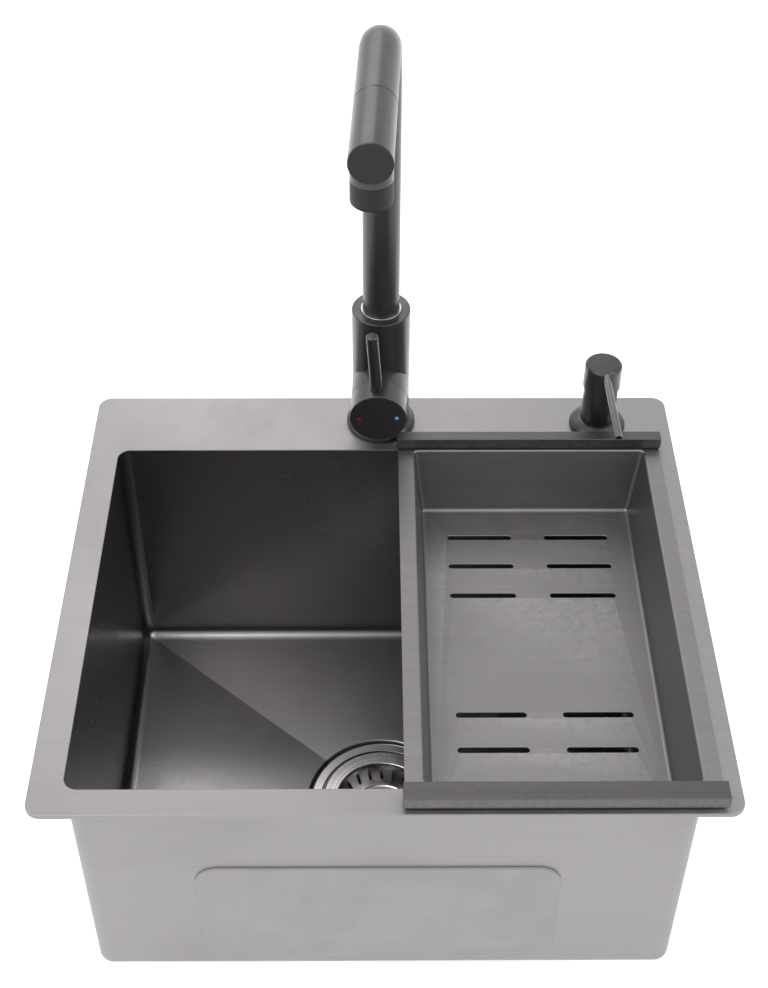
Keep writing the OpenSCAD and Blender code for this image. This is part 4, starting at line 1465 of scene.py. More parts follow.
@dataclass(frozen=True)
class Strainer:
    """The basket strainer in the bowl's floor, with its nut below it."""

    slots: int = 20
    slot_half: float = 1.2
    slot_reach: tuple[float, float] = (28.3, 33.2)
    rim_r: float = 45.5
    land: float = 35.5
    floor_r: float = 26.0
    rim_z: float = 2.4
    floor_z: float = -14.6
    sheet: float = 1.1
    sector_steps: int = 6
    lip: float = 0.3

    def surface(self, top: bool) -> Callable[[float], float]:
        """The height of the basket's sheet.

        Args:
            top: whether it is the upper side.

        Returns:
            A function that gives the height at a radius.
        """
        shift, lift = (0.5, self.sheet) if top else (0.0, 0.0)
        line = fillet(
            [
                (4, self.floor_z + lift),
                (self.floor_r - shift, self.floor_z + lift, 2.2),
                (self.land - shift, self.rim_z + lift, 1.2 + shift),
                (self.rim_r, self.rim_z + lift),
            ],
            6,
            closed=False,
        )

        def height(radius: float) -> float:
            """Follows the line between its points."""
            for a, b in zip(line, line[1:]):
                if radius <= b.x:
                    return a.y + (b.y - a.y) * (radius - a.x) / (b.x - a.x)
            return line[-1].y

        return height

    def sector_outlines(self) -> tuple[list[tuple[float, float]], Callable[[float], list[tuple[float, float]]]]:
        """The outline of one slot's share of the cone, and of the slot.

        Returns:
            The share's outline, and a function that gives the slot's outline for a growth, both as
            (radius, angle) pairs with as many points.
        """
        near, far = self.floor_r + 1.6, self.land - 1.6
        half = math.pi / self.slots
        n = self.sector_steps
        share = [(near + (far - near) * k / n, half) for k in range(n)]
        share += [(far, half - 2 * half * k / n) for k in range(n)]
        share += [(far + (near - far) * k / n, -half) for k in range(n)]
        share += [(near, -half + 2 * half * k / n) for k in range(n)]

        def slot(grow: float) -> list[tuple[float, float]]:
            """The slot's outline, grown on all sides."""
            (low, high), w = self.slot_reach, self.slot_half + grow
            low, high = low + self.slot_half, high - self.slot_half
            made = [(low + (high - low) * k / n, w) for k in range(n)]
            made += [(high + w * math.sin(math.pi * k / n), w * math.cos(math.pi * k / n)) for k in range(n)]
            made += [(high + (low - high) * k / n, -w) for k in range(n)]
            made += [(low - w * math.sin(math.pi * k / n), -w * math.cos(math.pi * k / n)) for k in range(n)]
            return [(r, across / r) for r, across in made]

        return share, slot

    def basket(self) -> bpy.types.Object:
        """Builds the basket with its slots and holes.

        Returns:
            The new object.
        """
        shell = Shell(LAYOUT.at_drain())
        top, low = self.surface(True), self.surface(False)
        share, slot = self.sector_outlines()

        def ring(
            points: Sequence[tuple[float, float]], side: Callable[[float], float], lift: float, turn: float
        ) -> list[int]:
            """Adds (radius, angle) points on one side of the sheet."""
            return shell.ring([(r * math.cos(a + turn), r * math.sin(a + turn), side(r) + lift) for r, a in points])

        for turn in angles(self.slots):
            grown = slot(self.lip)
            shell.loft(
                [
                    ring(share, top, 0, turn),
                    ring(grown, top, 0, turn),
                    ring(slot(0.09), top, -0.09, turn),
                    ring(slot(0), top, -self.lip, turn),
                    ring(slot(0), low, self.lip, turn),
                    ring(slot(0.09), low, 0.09, turn),
                    ring(grown, low, 0, turn),
                    ring(share, low, 0, turn),
                ]
            )
        count = self.slots * self.sector_steps
        turns = [2 * math.pi * (k + self.sector_steps / 2) / count for k in range(count)]

        def hoop(radius: float, z: float) -> list[int]:
            """Adds a ring with the sectors' own points."""
            return shell.ring([(radius * math.cos(a), radius * math.sin(a), z) for a in turns])

        inner, outer = self.floor_r + 1.6, self.land - 1.6
        bends = [outer + 0.4 * k for k in range(9)]
        edge = [(self.rim_r - 0.4, self.rim_z + self.sheet), (self.rim_r - 0.1, self.rim_z + self.sheet - 0.12)]
        edge += [(self.rim_r, self.rim_z + self.sheet - 0.4), (self.rim_r, self.rim_z + 0.3)]
        edge += [(self.rim_r - 0.1, self.rim_z + 0.08), (self.rim_r - 0.4, self.rim_z)]
        rings = [hoop(r, top(r)) for r in bends] + [hoop(r, z) for r, z in edge]
        shell.loft(rings + [hoop(r, low(r)) for r in reversed(bends)])
        holes = [hole(0, 0, 4.9, 32)]
        for number, radius in ((12, 20.0), (6, 14.0)):
            for k in range(number):
                angle = 2 * math.pi * (k + 0.5) / number
                holes.append(hole(radius * math.cos(angle), radius * math.sin(angle), 1.6, 16))
        dish = [inner - 0.4 * k for k in range(9)]
        upper, lower = [hoop(r, top(r)) for r in dish], [hoop(r, low(r)) for r in dish]
        shell.loft(upper)
        shell.loft(lower)
        profile = soft_edge(self.floor_z, self.floor_z + self.sheet, 0.15, 0.25, 3)
        walls = [[shell.ring(at_height(shape(inset), z)) for inset, z in profile] for shape in holes]
        for wall in walls:
            shell.loft(wall)
        shell.fill(upper[-1], [wall[-1] for wall in walls])
        shell.fill(lower[-1], [wall[0] for wall in walls])
        return shell.piece("basket", merge=0.004)

    def build(self) -> None:
        """Builds the strainer's parts."""
        at = LAYOUT.at_drain()
        outlet = threaded_wall(23.9, -59.2, -43.5, 2.3)
        barrel = threaded_wall(44.2, -35, -1.5, 3.0)
        cup_thread, outlet_thread = thread(44.2, 0.6, 3.0, -35, -1.5), thread(23.9, 0.9, 2.3, -59.2, -43.5)

        def shape(radius: float, height: float, angle: float) -> float:
            """Cuts both threads."""
            return outlet_thread(radius, height, angle) if height < -42.5 else cup_thread(radius, height, angle)

        outline = [(20.5, -60, 0.4), (23.9, -60, 0.6), *outlet, (23.9, -42, 0.3), (38.2, -42, 2)]
        outline += [(44.2, -36, 0.6), *barrel, (44.2, 1, 0.2), (55, 1, 0.15), (55, 1.7, 0.3), (54.5, 2.2, 0.3)]
        outline += [(48.3, 2.2, 0.3), (48, 1.2, 0.2), (45.6, 1.2, 0.2), (45.3, 2.2, 0.2), (43, 2.2, 0.9)]
        outline += [(43, -35.5, 2), (37.7, -40.8, 2), (20.5, -40.8, 0.8)]
        lathe("strainer_cup", outline, at, ("sink", "polished_steel", "strainer_body"), 144, shape)
        nut = [(44.3, -17.2), (51, -17.2, 0.8), (51, -8.4), (51, -8.2), (55, -8.2, 0.5)]
        nut += [(55, -5.2, 0.5), (44.3, -5.2)]
        grip = lugs(51, 54, 8, 6, math.radians(20))

        def gripped(radius: float, height: float, angle: float) -> float:
            """Raises the lugs below the flange."""
            return grip(radius, height, angle) if height < -8.3 else radius

        lathe("strainer_nut", nut, at, ("sink", "grey_plastic", "strainer_locknut"), 288, gripped)
        place(self.basket(), "basket", "polished_steel", "strainer_basket")
        knob = [(0, -23.6), (2.8, -23.6, 0.3), (2.8, -21.6), (4.8, -21.6, 0.4), (4.8, -13.5), (8, -13.5, 0.2)]
        knob += [(8, -12.5, 0.3), (4, -10.5, 1.5), (4, -2.1, 1), (9.7, -1.1, 0.6), (10.5, -0.1, 0.6)]
        knob += [(9.9, 1.5, 1), (7.5, 2.9, 2), (4.5, 3.7, 3), (2, 3.9, 2), (0, 3.9)]
        lathe("knob", knob, at, ("basket", "polished_steel", "basket_knob"), 64)
        stopper = [(4.8, -20.6, 0.3), (18.9, -20.6, 0.8), (22.4, -17.6, 1), (22.4, -15.6, 0.8), (18.9, -14.6, 0.5)]
        lathe("stopper", stopper + [(4.8, -14.6, 0.2)], at, ("basket", "black_rubber", "basket_stopper"), 96)


# The tray


@dataclass(frozen=True)
class DrainTray:
    """The sliding tray with its slots, its two channel rails and its glides."""

    left: float = 24.25
    right: float = 200.75
    front: float = -176.1
    back: float = 134.2
    sheet: float = 1.2
    lean: float = 6.5
    bend: float = 3.0
    corner: float = 2.9
    floor_z: float = -52.0
    flange_z: float = 4.0
    flange: tuple[float, float, float, float] = (11.95, 213.05, -196.0, 144.1)
    slot_len: float = 49.4
    slot_w: float = 4.4
    column: float = 37.5
    rows: tuple[float, ...] = (56.7, 87.2, 117.7)
    rail_x: tuple[float, float] = (10.95, 214.05)
    rail_z: tuple[float, float] = (5.2, 15.2)
    # the black strip under each rail: partly a gasket, partly painted shade of the gap beneath the rail
    shade_strip_h: float = 1.5
    shade_strip_inset: float = 0.9
    front_rail: tuple[float, float] = (-197.2, -183.3)
    rear_rail: tuple[float, float] = (135.9, 145.3)
    glide_x: tuple[float, float] = (13.95, 211.05)
    glide_z: tuple[float, float] = (3.2, 4.0)
    front_glide: tuple[float, float] = (-195.0, -185.1)
    rear_glide: tuple[float, float] = (139.2, 143.1)

    def loop(self, inset: float) -> list[Vector]:
        """The pan's inner outline at an inset from its mouth, whose corners tighten towards the floor."""
        slope = (self.corner - self.bend) / self.lean
        radius = self.corner - inset if inset < 0 else self.corner - inset * slope
        radius = max(min(radius, self.lean + self.bend - inset), 0.05)
        return rounded_loop(self.left + inset, self.right - inset, self.front + inset, self.back - inset, radius, 6)

    def slots(self) -> list[Outline]:
        """The slots in the floor."""
        x, y = (self.left + self.right) / 2, (self.front + self.back) / 2
        straight, radius = (self.slot_len - self.slot_w) / 2, self.slot_w / 2

        def slot(cx: float, cy: float) -> Outline:
            """One slot, which widens as its edge turns over."""
            return lambda inset: rounded_loop(
                cx - straight - radius - inset,
                cx + straight + radius + inset,
                cy - radius - inset,
                cy + radius + inset,
                radius + inset - 1e-3,
                8,
            )

        columns = (x - self.column, x + self.column)
        return [slot(cx, y + end * row) for cx in columns for end in (-1, 1) for row in self.rows]

    def side(self, shell: Shell, grow: float) -> tuple[list[int], list[int]]:
        """Adds one side of the pan's sheet, from the flange's inner edge down to the floor.

        Args:
            shell: the shell to add to.
            grow: the sheet's thickness for the outside, 0 for the inside.

        Returns:
            The ring at the flange and the ring at the floor.
        """
        top = self.flange_z + self.sheet - grow
        low = self.floor_z - grow
        tilt = math.atan2(self.lean, self.flange_z - self.floor_z - self.bend)
        foot = self.lean + self.bend * math.tan(tilt) - grow / math.cos(tilt)
        line = fillet(
            [(-4.0, top), (-grow, top, 1.6 - grow), (foot, low, self.bend + grow), (foot + 12, low)], 6, closed=False
        )
        rings = [shell.ring(at_height(self.loop(p.x), p.y)) for p in line[:-1]]
        shell.loft(rings)
        return rings[0], rings[-1]

    def pan(self) -> bpy.types.Object:
        """Builds the pan as one sheet.

        Returns:
            The new object.
        """
        shell = Shell()
        (mouth, floor), (mouth_low, floor_low) = self.side(shell, 0), self.side(shell, self.sheet)
        x0, x1, y0, y1 = self.flange
        rims = []
        for inset, z in soft_edge(self.flange_z, self.flange_z + self.sheet, 0.3, 0.3, 3):
            rims.append(shell.ring(at_height(rounded_loop(x0 + inset, x1 - inset, y0 + inset, y1 - inset, 2, 4), z)))
        shell.loft(rims)
        shell.fill(rims[-1], [mouth])
        shell.fill(rims[0], [mouth_low])
        walls = []
        for shape in self.slots():
            profile = soft_edge(self.floor_z - self.sheet, self.floor_z, 0.15, 0.45, 3)
            walls.append([shell.ring(at_height(shape(inset), z)) for inset, z in profile])
            shell.loft(walls[-1])
        shell.fill(floor, [wall[-1] for wall in walls])
        shell.fill(floor_low, [wall[0] for wall in walls])
        return shell.piece("tray_sheet", smooth=36, merge=0.002)

    def rail(self, name: str, span: tuple[float, float], node: str) -> None:
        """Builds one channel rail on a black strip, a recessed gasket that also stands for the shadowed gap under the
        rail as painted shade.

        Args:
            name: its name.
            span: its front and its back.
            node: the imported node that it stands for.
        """
        (x0, x1), (z0, z1) = self.rail_x, self.rail_z
        low, inset = z0 + self.shade_strip_h, self.shade_strip_inset
        piece = slab(name, (x0, span[0], low), (x1, span[1], z1), 0.5, self.sheet)
        place(piece, "tray", "brushed_dark_steel", node, skins=("rail_steel",))
        # painted shade: the black strip darkens the gap under the rail
        shade_strip = slab(f"{name}_strip", (x0 + inset, span[0] + inset, z0), (x1 - inset, span[1] - inset, low), 0.2)
        place(shade_strip, "tray", "black_rubber")

    def build(self) -> None:
        """Builds the tray."""
        place(self.pan(), "tray", "brushed_dark_steel", "tray_pan")
        self.rail("front_rail", self.front_rail, "tray_front_rail")
        self.rail("rear_rail", self.rear_rail, "tray_rear_rail")
        (x0, x1), (z0, z1) = self.glide_x, self.glide_z
        for name, (y0, y1) in (("front_glide", self.front_glide), ("rear_glide", self.rear_glide)):
            place(slab(name, (x0, y0, z0), (x1, y1, z1), 0.25), "tray", "black_rubber", "tray_glides")


# The tap


@dataclass(frozen=True)
class Tap:
    """The tap's fixed base and body, with its shank and nut under the deck."""

    body_r: float = 21.7
    body_top: float = 113.3
    housing_r: float = 21.2
    seat_r: float = 22.3
    seat_front: float = 14.0
    bush_bore: float = 15.3
    spout_foot: float = 85.3
    shank_r: float = 17.0
    shank_top: float = 18.3
    duct_r: float = 5.3

    def dome(self) -> list[tuple[float, float]]:
        """The housing's spherical seat, from its rim to the flat round the cartridge."""
        start = math.asin(math.sqrt(1 - (self.housing_r / self.seat_r) ** 2))
        end = math.asin(self.seat_front / self.seat_r)
        turns = [start + (end - start) * k / 6 for k in range(7)]
        return [(self.seat_r * math.cos(a), self.seat_r * math.sin(a)) for a in turns]

    def body(self) -> bpy.types.Object:
        """Builds the body: a column with the handle's housing across it.

        Returns:
            The new object.
        """
        axis = LAYOUT.at_tap()
        pivot = LAYOUT.at_tap(0, -LAYOUT.pivot, LAYOUT.housing_z) @ Matrix.Rotation(RIGHT_ANGLE, 4, "X")
        column = [(0, 10.3), (self.body_r, 10.3), (self.body_r, self.body_top, 0.7), (0, self.body_top)]
        main = turned("column", column, axis, 128)
        shell = [(0, -LAYOUT.pivot), (self.housing_r, -LAYOUT.pivot), *self.dome(), (0, self.seat_front)]
        house = turned("house", shell, pivot, 128)
        bore = [(0, -15.4), (12.6, -15.4), (12.6, 8), (15.2, 8), (15.2, 30), (0, 30)]
        cartridge = turned("bore", bore, pivot, 96)
        well = [(0, 0), (self.shank_r, 0), (self.shank_r, self.shank_top), (self.duct_r, self.shank_top)]
        well += [(self.duct_r, self.spout_foot), (self.bush_bore, self.spout_foot), (self.bush_bore, 113)]
        well += [(self.bush_bore + 0.5, 113.6), (self.bush_bore + 0.5, 130), (0, 130)]
        duct = turned("well", well, axis, 96)
        tools = [("UNION", house), ("DIFFERENCE", cartridge), ("DIFFERENCE", duct)]
        for side in (-1, 1):
            socket = turned("socket", [(0, 10), (4, 10), (4, 30.3), (0, 30.3)], LAYOUT.at_tap(side * 11), 48)
            tools.append(("DIFFERENCE", socket))
        return joined("tap_column", main, tools)

    def build(self) -> None:
        """Builds the tap's fixed parts."""
        at = LAYOUT.at_tap()
        base = [(17, 3.8), (26.5, 3.8, 0.3), (26.5, 5.8, 0.8), (25.7, 7.2, 0.8), (24.1, 8.9, 1), (22.9, 10.3, 0.3)]
        lathe("tap_foot", base + [(17, 10.3)], at, ("sink", "tap_black", "tap_base"))
        place(self.body(), "sink", "tap_black", "tap_body")
        wall = threaded_wall(16.9, -41, 2, 1.5)
        shank = [(15.2, -42, 0.3), (16.9, -42, 0.5), *wall, (16.9, 18.3, 0.3), (15.2, 18.3, 0.3)]
        cut = thread(16.9, 0.6, 1.5, -41, 2)
        lathe("shank", shank, at, ("sink", "turned_brass", "tap_shank"), 96, cut)
        clamp = [(17, -5, 0.2), (21, -5, 0.4), (21, -3, 0.4), (17, -3, 0.2)]
        lathe("clamp_plate", clamp, at, ("sink", "plain_steel", "shank_clamp"), 96)

        def hexagon(inset: float) -> list[Vector]:
            """The nut's outline."""
            radius = 21 - inset * 1.1547
            corners = [(radius * math.cos(k * math.pi / 3), radius * math.sin(k * math.pi / 3), 0.8) for k in range(6)]
            return fillet(corners, 5)

        nut = plate("hex_nut", at, hexagon, soft_edge(-15, -5, 0.8, 0.5), [hole(0, 0, 17)])
        place(nut, "sink", "turned_brass", "shank_nut")
        bush = [(13.55, 101.3), (15.2, 101.3), (15.2, 114, 0.35), (13.55, 114, 0.2)]
        lathe("bush", bush, at, ("sink", "polished_steel", "spout_bush"), skins=("bush_steel",))


@dataclass(frozen=True)
class Handle:
    """The handle's cap, its pin lever and the two coloured marks."""

    cap_r: float = 21.2
    hollow_r: float = 22.7
    front: float = 27.4
    stem_r: float = 3.6
    stem_depth: float = 25.6
    lever_z: float = 18.0
    lever_r: float = 4.4
    lever_reach: float = 71.0
    screw_z: float = 24.6
    mark_x: float = 13.99
    mark_r: float = 1.6

    def cap(self) -> bpy.types.Object:
        """Builds the cap with its hollow and its holes.

        Returns:
            The new object.
        """
        at = LAYOUT.at_lever()
        start = math.acos(self.cap_r / self.hollow_r)
        end = math.acos(self.stem_r / self.hollow_r)
        turns = [start + (end - start) * k / 12 for k in range(13)]
        outline = [(self.hollow_r * math.cos(a), self.hollow_r * math.sin(a)) for a in turns]
        outline += [(self.stem_r, self.stem_depth), (0, self.stem_depth), (0, self.front)]
        outline += [(self.cap_r, self.front, 0.8)]
        main = turned("cap", outline, at, 128)
        ahead = Matrix.Rotation(-RIGHT_ANGLE, 4, "X")
        across = [(0, 0), (4.5, 0), (4.5, 20), (4.9, 21.5), (4.9, 40), (0, 40)]
        tools = [("DIFFERENCE", turned("cut", across, at @ Matrix.Translation((0, 0, self.lever_z)) @ ahead, 64))]
        back = at @ Matrix.Translation((0, 0, self.screw_z)) @ Matrix.Rotation(RIGHT_ANGLE, 4, "X")
        tools.append(("DIFFERENCE", turned("cut", [(0, 0), (1.6, 0), (1.6, 40), (0, 40)], back, 32)))
        for side in (-1, 1):
            pocket = [(0, self.front - 0.6), (self.mark_r + 0.1, self.front - 0.6), (self.mark_r + 0.1, 40), (0, 40)]
            spot = at @ Matrix.Translation((side * self.mark_x, 0, 0))
            tools.append(("DIFFERENCE", turned("cut", pocket, spot, 32)))
        return joined("handle_dome", main, tools)

    def build(self) -> None:
        """Builds the handle."""
        at = LAYOUT.at_lever()
        place(self.cap(), "handle", "tap_black", "handle_cap")
        ahead = at @ Matrix.Translation((0, 0, self.lever_z)) @ Matrix.Rotation(-RIGHT_ANGLE, 4, "X")
        tip = self.lever_reach
        rod = [(0, 18.3), (self.lever_r, 18.3), (self.lever_r, tip - 1, 0.5), (self.lever_r - 1, tip, 0.5), (0, tip)]
        lathe("lever", rod, ahead, ("handle", "tap_black", "pin_lever"), 64)
        for slot, side in (("red_mark", -1), ("blue_mark", 1)):
            spot = at @ Matrix.Translation((side * self.mark_x, 0, 0))
            dot = [(0, self.front - 0.6), (self.mark_r, self.front - 0.6), (self.mark_r, self.front - 0.05, 0.2)]
            dot += [(0.8, self.front, 1), (0, self.front)]
            node = "hot_mark" if side < 0 else "cold_mark"
            lathe(slot.replace("mark", "dot"), dot, spot, ("handle", slot, node), 32)


@dataclass(frozen=True)
class Spout:
    """The swivelling spout and the hose inside it."""

    outer: float = 13.5
    inner: float = 12.0
    bend: float = 37.0
    foot: float = 86.3
    head_start: float = 99.5
    hose_r: float = 4.8
    hose_inner: float = 3.3
    hose_foot: float = -54.0
    hose_end: float = 87.5
    stretch: tuple[float, float] = (78.0, 87.0)

    def path(self, low: float, arm: Sequence[float], turns: int = 28) -> list[tuple[Vector, Vector]]:
        """The spout's centreline.

        Args:
            low: the height where it starts.
            arm: how far along the arm each of its last points is.
            turns: the number of steps round the bend.

        Returns:
            (centre, direction) pairs in the tap's frame.
        """
        bend_z = LAYOUT.arm_z - self.bend
        up, out = Vector((0, 0, 1)), Vector((0, -1, 0))
        made = [(Vector((0, 0, low + (bend_z - low) * k / 8)), up) for k in range(8)]
        for k in range(turns + 1):
            angle = RIGHT_ANGLE * k / turns
            spot = Vector((0, -self.bend + self.bend * math.cos(angle), bend_z + self.bend * math.sin(angle)))
            made.append((spot, up * math.cos(angle) + out * math.sin(angle)))
        return made + [(Vector((0, -reach, LAYOUT.arm_z)), out) for reach in arm]

    def build(self) -> None:
        """Builds the spout and its hose."""
        at = LAYOUT.at_tap()
        pipe = tube("spout_pipe", self.path(self.foot, (45.0, self.head_start)), self.outer, self.inner, at, 96)
        place(pipe, "spout", "tap_black", "spout_tube")
        start, end = self.stretch
        steps = [start + (end - start) * k / 96 for k in range(97)]
        line = self.path(self.hose_foot, (*steps, self.hose_end))
        hose = tube("braided_hose", line, self.hose_r, self.hose_inner, at, 32, 0.2)
        place(hose, "", "hose_nylon", "spray_hose")
        near, far = (at @ Vector((0, -reach, LAYOUT.arm_z)) * MM for reach in self.stretch)
        tuple(near)
        tuple(far)
        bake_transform(hose)


@dataclass(frozen=True)
class SprayHead:
    """The pull-out head at the end of the arm."""

    radius: float = 13.5
    start: float = 99.5
    spigot: float = 87.5
    end: float = 163.9
    spigot_r: float = 10.55
    stub_r: float = 13.0
    stub_low: float = 322.0
    nozzle_low: float = 306.2
    hole_step: float = 0.42

    def build(self) -> None:
        """Builds the head, its end cap, its nozzle and its aerator."""
        arm = LAYOUT.on_arm()
        down = LAYOUT.at_tap(0, -LAYOUT.nozzle_axis)
        neck, seam = self.radius - 0.9, self.start + 0.8
        barrel = [(0, self.spigot), (self.spigot_r, self.spigot, 0.4), (self.spigot_r, self.start)]
        barrel += [(neck, self.start), (neck, seam), (self.radius, seam, 0.2), (self.radius, self.end, 0.15)]
        barrel += [(0, self.end)]
        main = turned("barrel", barrel, arm, 128)
        boss = [(0, self.stub_low), (self.stub_r, self.stub_low, 0.4), (self.stub_r, 338), (0, 338)]
        stub = turned("stub", boss, down, 128)
        way = turned("way", [(0, 80), (3.3, 80), (3.3, LAYOUT.nozzle_axis), (0, LAYOUT.nozzle_axis)], arm, 48)
        bore = turned("bore", [(0, 300), (8, 300), (8, LAYOUT.arm_z), (0, LAYOUT.arm_z)], down, 64)
        tools = [("UNION", stub), ("DIFFERENCE", bore), ("DIFFERENCE", way)]
        place(joined("spray_barrel", main, tools), "spray", "tap_black", "spray_body")
        cap = [(0, self.end), (self.radius, self.end, 0.15), (self.radius, self.end + 1.5, 0.5), (0, self.end + 1.5)]
        # the end face takes the darker copy of the tap's black, as painted shade
        lathe("spray_cap", cap, arm, ("spray", "tap_black", "spray_end_cap"), skins=("tap_end_painted_shade",))
        mouth = down @ Matrix.Translation((0, 0, self.nozzle_low))
        ring = [(10.6, 0, 0.2), (11, 0), (12, 0.3, 0.6), (12.7, 1, 0.6), (13, 2, 0.8), (13, 15.8, 0.35), (8, 15.8)]
        ring += [(8, 5.8), (10.6, 5.8)]
        lathe("nozzle_ring", ring, mouth, ("spray", "nozzle_plastic", "spray_nozzle"))
        holes = [hole(0, 0, 0.75, 12)]
        for count in (6, 12, 18):
            radius = count * self.hole_step
            for angle in angles(count):
                holes.append(hole(radius * math.cos(angle), radius * math.sin(angle), 0.75, 12))
        edge = soft_edge(0.8, 5.8, 0.3, 0.1, 3)
        disc = plate("spray_face", mouth, lambda inset: circle(0, 0, 10.5 - inset), edge, holes)
        place(disc, "spray", "aerator_plastic", "aerator")


# The soap dispenser


@dataclass(frozen=True)
class SoapDispenser:
    """The dispenser: its flange and collar, bottle, nut, spring, head and nozzle."""

    collar_r: float = 13.1
    head_low: float = 43.2
    head_top: float = 64.0
    head_r: float = 14.25
    nozzle_r: float = 2.8
    nozzle_turn: float = 4.0
    nozzle_slope: float = 10.5
    nozzle_z: float = 60.6
    spring_low: float = -72.8
    spring_high: float = -25.3
    spring_turns: int = 9
    spring_r: float = 4.6
    wire: float = 0.5

    def head(self) -> bpy.types.Object:
        """Builds the pump's head with the hole for its nozzle.

        Returns:
            The new object.
        """
        top, low, r = self.head_top, self.head_low, self.head_r
        outline = [(0, top), (r - 2, top, 0.4), (r - 0.5, top - 1, 0.5), (r - 0.2, top - 2, 0.8), (r, low, 0.2)]
        outline += [(13.35, low, 0.2), (13.35, 57.7), (7, 57.7), (7, 48.7), (4.05, 48.7), (4.05, 59.9), (0, 59.9)]
        main = turned("head", outline, LAYOUT.at_pump(), 128)
        bore = self.nozzle_r + 0.05
        cut = turned("cut", [(0, -3.25), (bore, -3.25), (bore, 12), (0, 12)], self.nozzle_frame(), 48)
        return joined("dispenser_head", main, [("DIFFERENCE", cut)])

    def nozzle_frame(self) -> Matrix:
        """The nozzle's axis, with Z out towards its tip."""
        turn = Matrix.Rotation(math.radians(self.nozzle_turn), 4, "Z")
        out = Matrix.Translation((0, -self.head_r, self.nozzle_z))
        return LAYOUT.at_pump() @ turn @ out @ Matrix.Rotation(RIGHT_ANGLE + math.radians(self.nozzle_slope), 4, "X")

    def spring(self) -> None:
        """Builds the coil spring that the stem presses."""
        shell = Shell(LAYOUT.at_pump())
        steps, sides = self.spring_turns * 28, 8
        rise = self.spring_high - self.spring_low - 2 * self.wire
        rings = []
        for k in range(steps + 1):
            share = k / steps
            turn = 2 * math.pi * self.spring_turns * share
            height = self.spring_low + self.wire + rise * share
            hoop = []
            for angle in angles(sides):
                r = self.spring_r + self.wire * math.cos(angle)
                hoop.append((r * math.cos(turn), r * math.sin(turn), height + self.wire * math.sin(angle)))
            rings.append(shell.ring(hoop))
        shell.loft(rings)
        shell.face(rings[0])
        shell.face(rings[-1])
        coil = place(shell.piece("coil_spring"), "", "plain_steel", "pump_spring")
        low, high = (LAYOUT.at_pump(z) @ Vector((0, 0, 0)) * MM for z in (self.spring_low, self.spring_high))
        tuple(low)
        tuple(high)
        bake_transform(coil)

    def build(self) -> None:
        """Builds the dispenser."""
        at = LAYOUT.at_pump()
        flange = [(13.2, 3.8), (21.7, 3.8, 0.3), (21.7, 5.3, 0.8), (20.7, 7, 1), (18.7, 8.6, 1.2), (15.1, 10.4, 1)]
        lathe("flange", flange + [(13.2, 10.8, 0.2)], at, ("sink", "tap_black", "dispenser_flange"))
        r = self.collar_r
        wall = threaded_wall(r, -35.2, -1, 2.0)
        collar = [(11.7, -36, 0.2), (r, -36, 0.4), *wall, (r, 43.4, 0.4), (11.7, 43.4, 0.3)]
        collar += [(11.7, 27.7), (6.9, 27.7), (6.9, 25.7), (11.7, 25.7)]
        cut = thread(r, 0.5, 2.0, -35.2, -1)
        lathe("collar", collar, at, ("sink", "tap_black", "dispenser_collar"), 96, cut)
        nut = [(13.2, -11), (18, -11, 0.6), (18, -3, 0.6), (13.2, -3)]
        lathe("wing_nut", nut, at, ("sink", "grey_plastic", "dispenser_nut"), 240, lugs(18, 20, 6, 4))
        bottle = [(0, -162), (23, -162, 1.5), (26, -161, 2), (27, -158, 3), (27, -50, 5), (25, -44, 4), (15.2, -37, 2)]
        bottle += [(15.2, -34), (15.8, -33.4, 0.3), (15.8, -32.2, 0.3), (15.2, -31.6), (15.2, -14, 0.5)]
        bottle += [(13.2, -14, 0.4), (13.2, -38.2, 0.8), (23.5, -45, 3), (25.5, -50.4, 4), (25.5, -158, 3)]
        bottle += [(23, -160.5, 1.5), (0, -160.5)]
        lathe("bottle", bottle, at, ("sink", "bottle_plastic", "soap_bottle"))
        place(self.head(), "pump_head", "tap_black", "pump_head")
        r = self.nozzle_r
        pipe = [(0, -3.25), (r, -3.25), (r, 56.9, 0.4), (1.8, 56.9, 0.3), (1.8, 1.75), (0, 1.75)]
        owner = ("pump_head", "tap_black", "soap_nozzle")
        lathe("soap_pipe", pipe, self.nozzle_frame(), owner, 48, skins=("pipe_black",))
        self.spring()


# What stays as it was packed


class PackedNodes:
    """The nodes whose own solids show, with softened edges."""

    def build(self) -> None:
        """Gives each node that is still shown its finish and soft edges."""
        for name, slot in NODE_SLOTS.items():
            node = frame["nodes"][name]
            if node.hide_render:
                continue
            node.data.materials.clear()
            node.data.materials.append(FINISHES.get(slot))
            weld = node.modifiers.new("weld", "WELD")
            weld.merge_threshold = 0.00002
            soft = node.modifiers.new("soft_edges", "BEVEL")
            soft.width, soft.segments, soft.limit_method = 0.0002, 2, "ANGLE"
            soft.angle_limit = math.radians(40)
            even_shading(node)
            LOG.info("%s keeps its packed shape in %s", name, slot)


# The studio


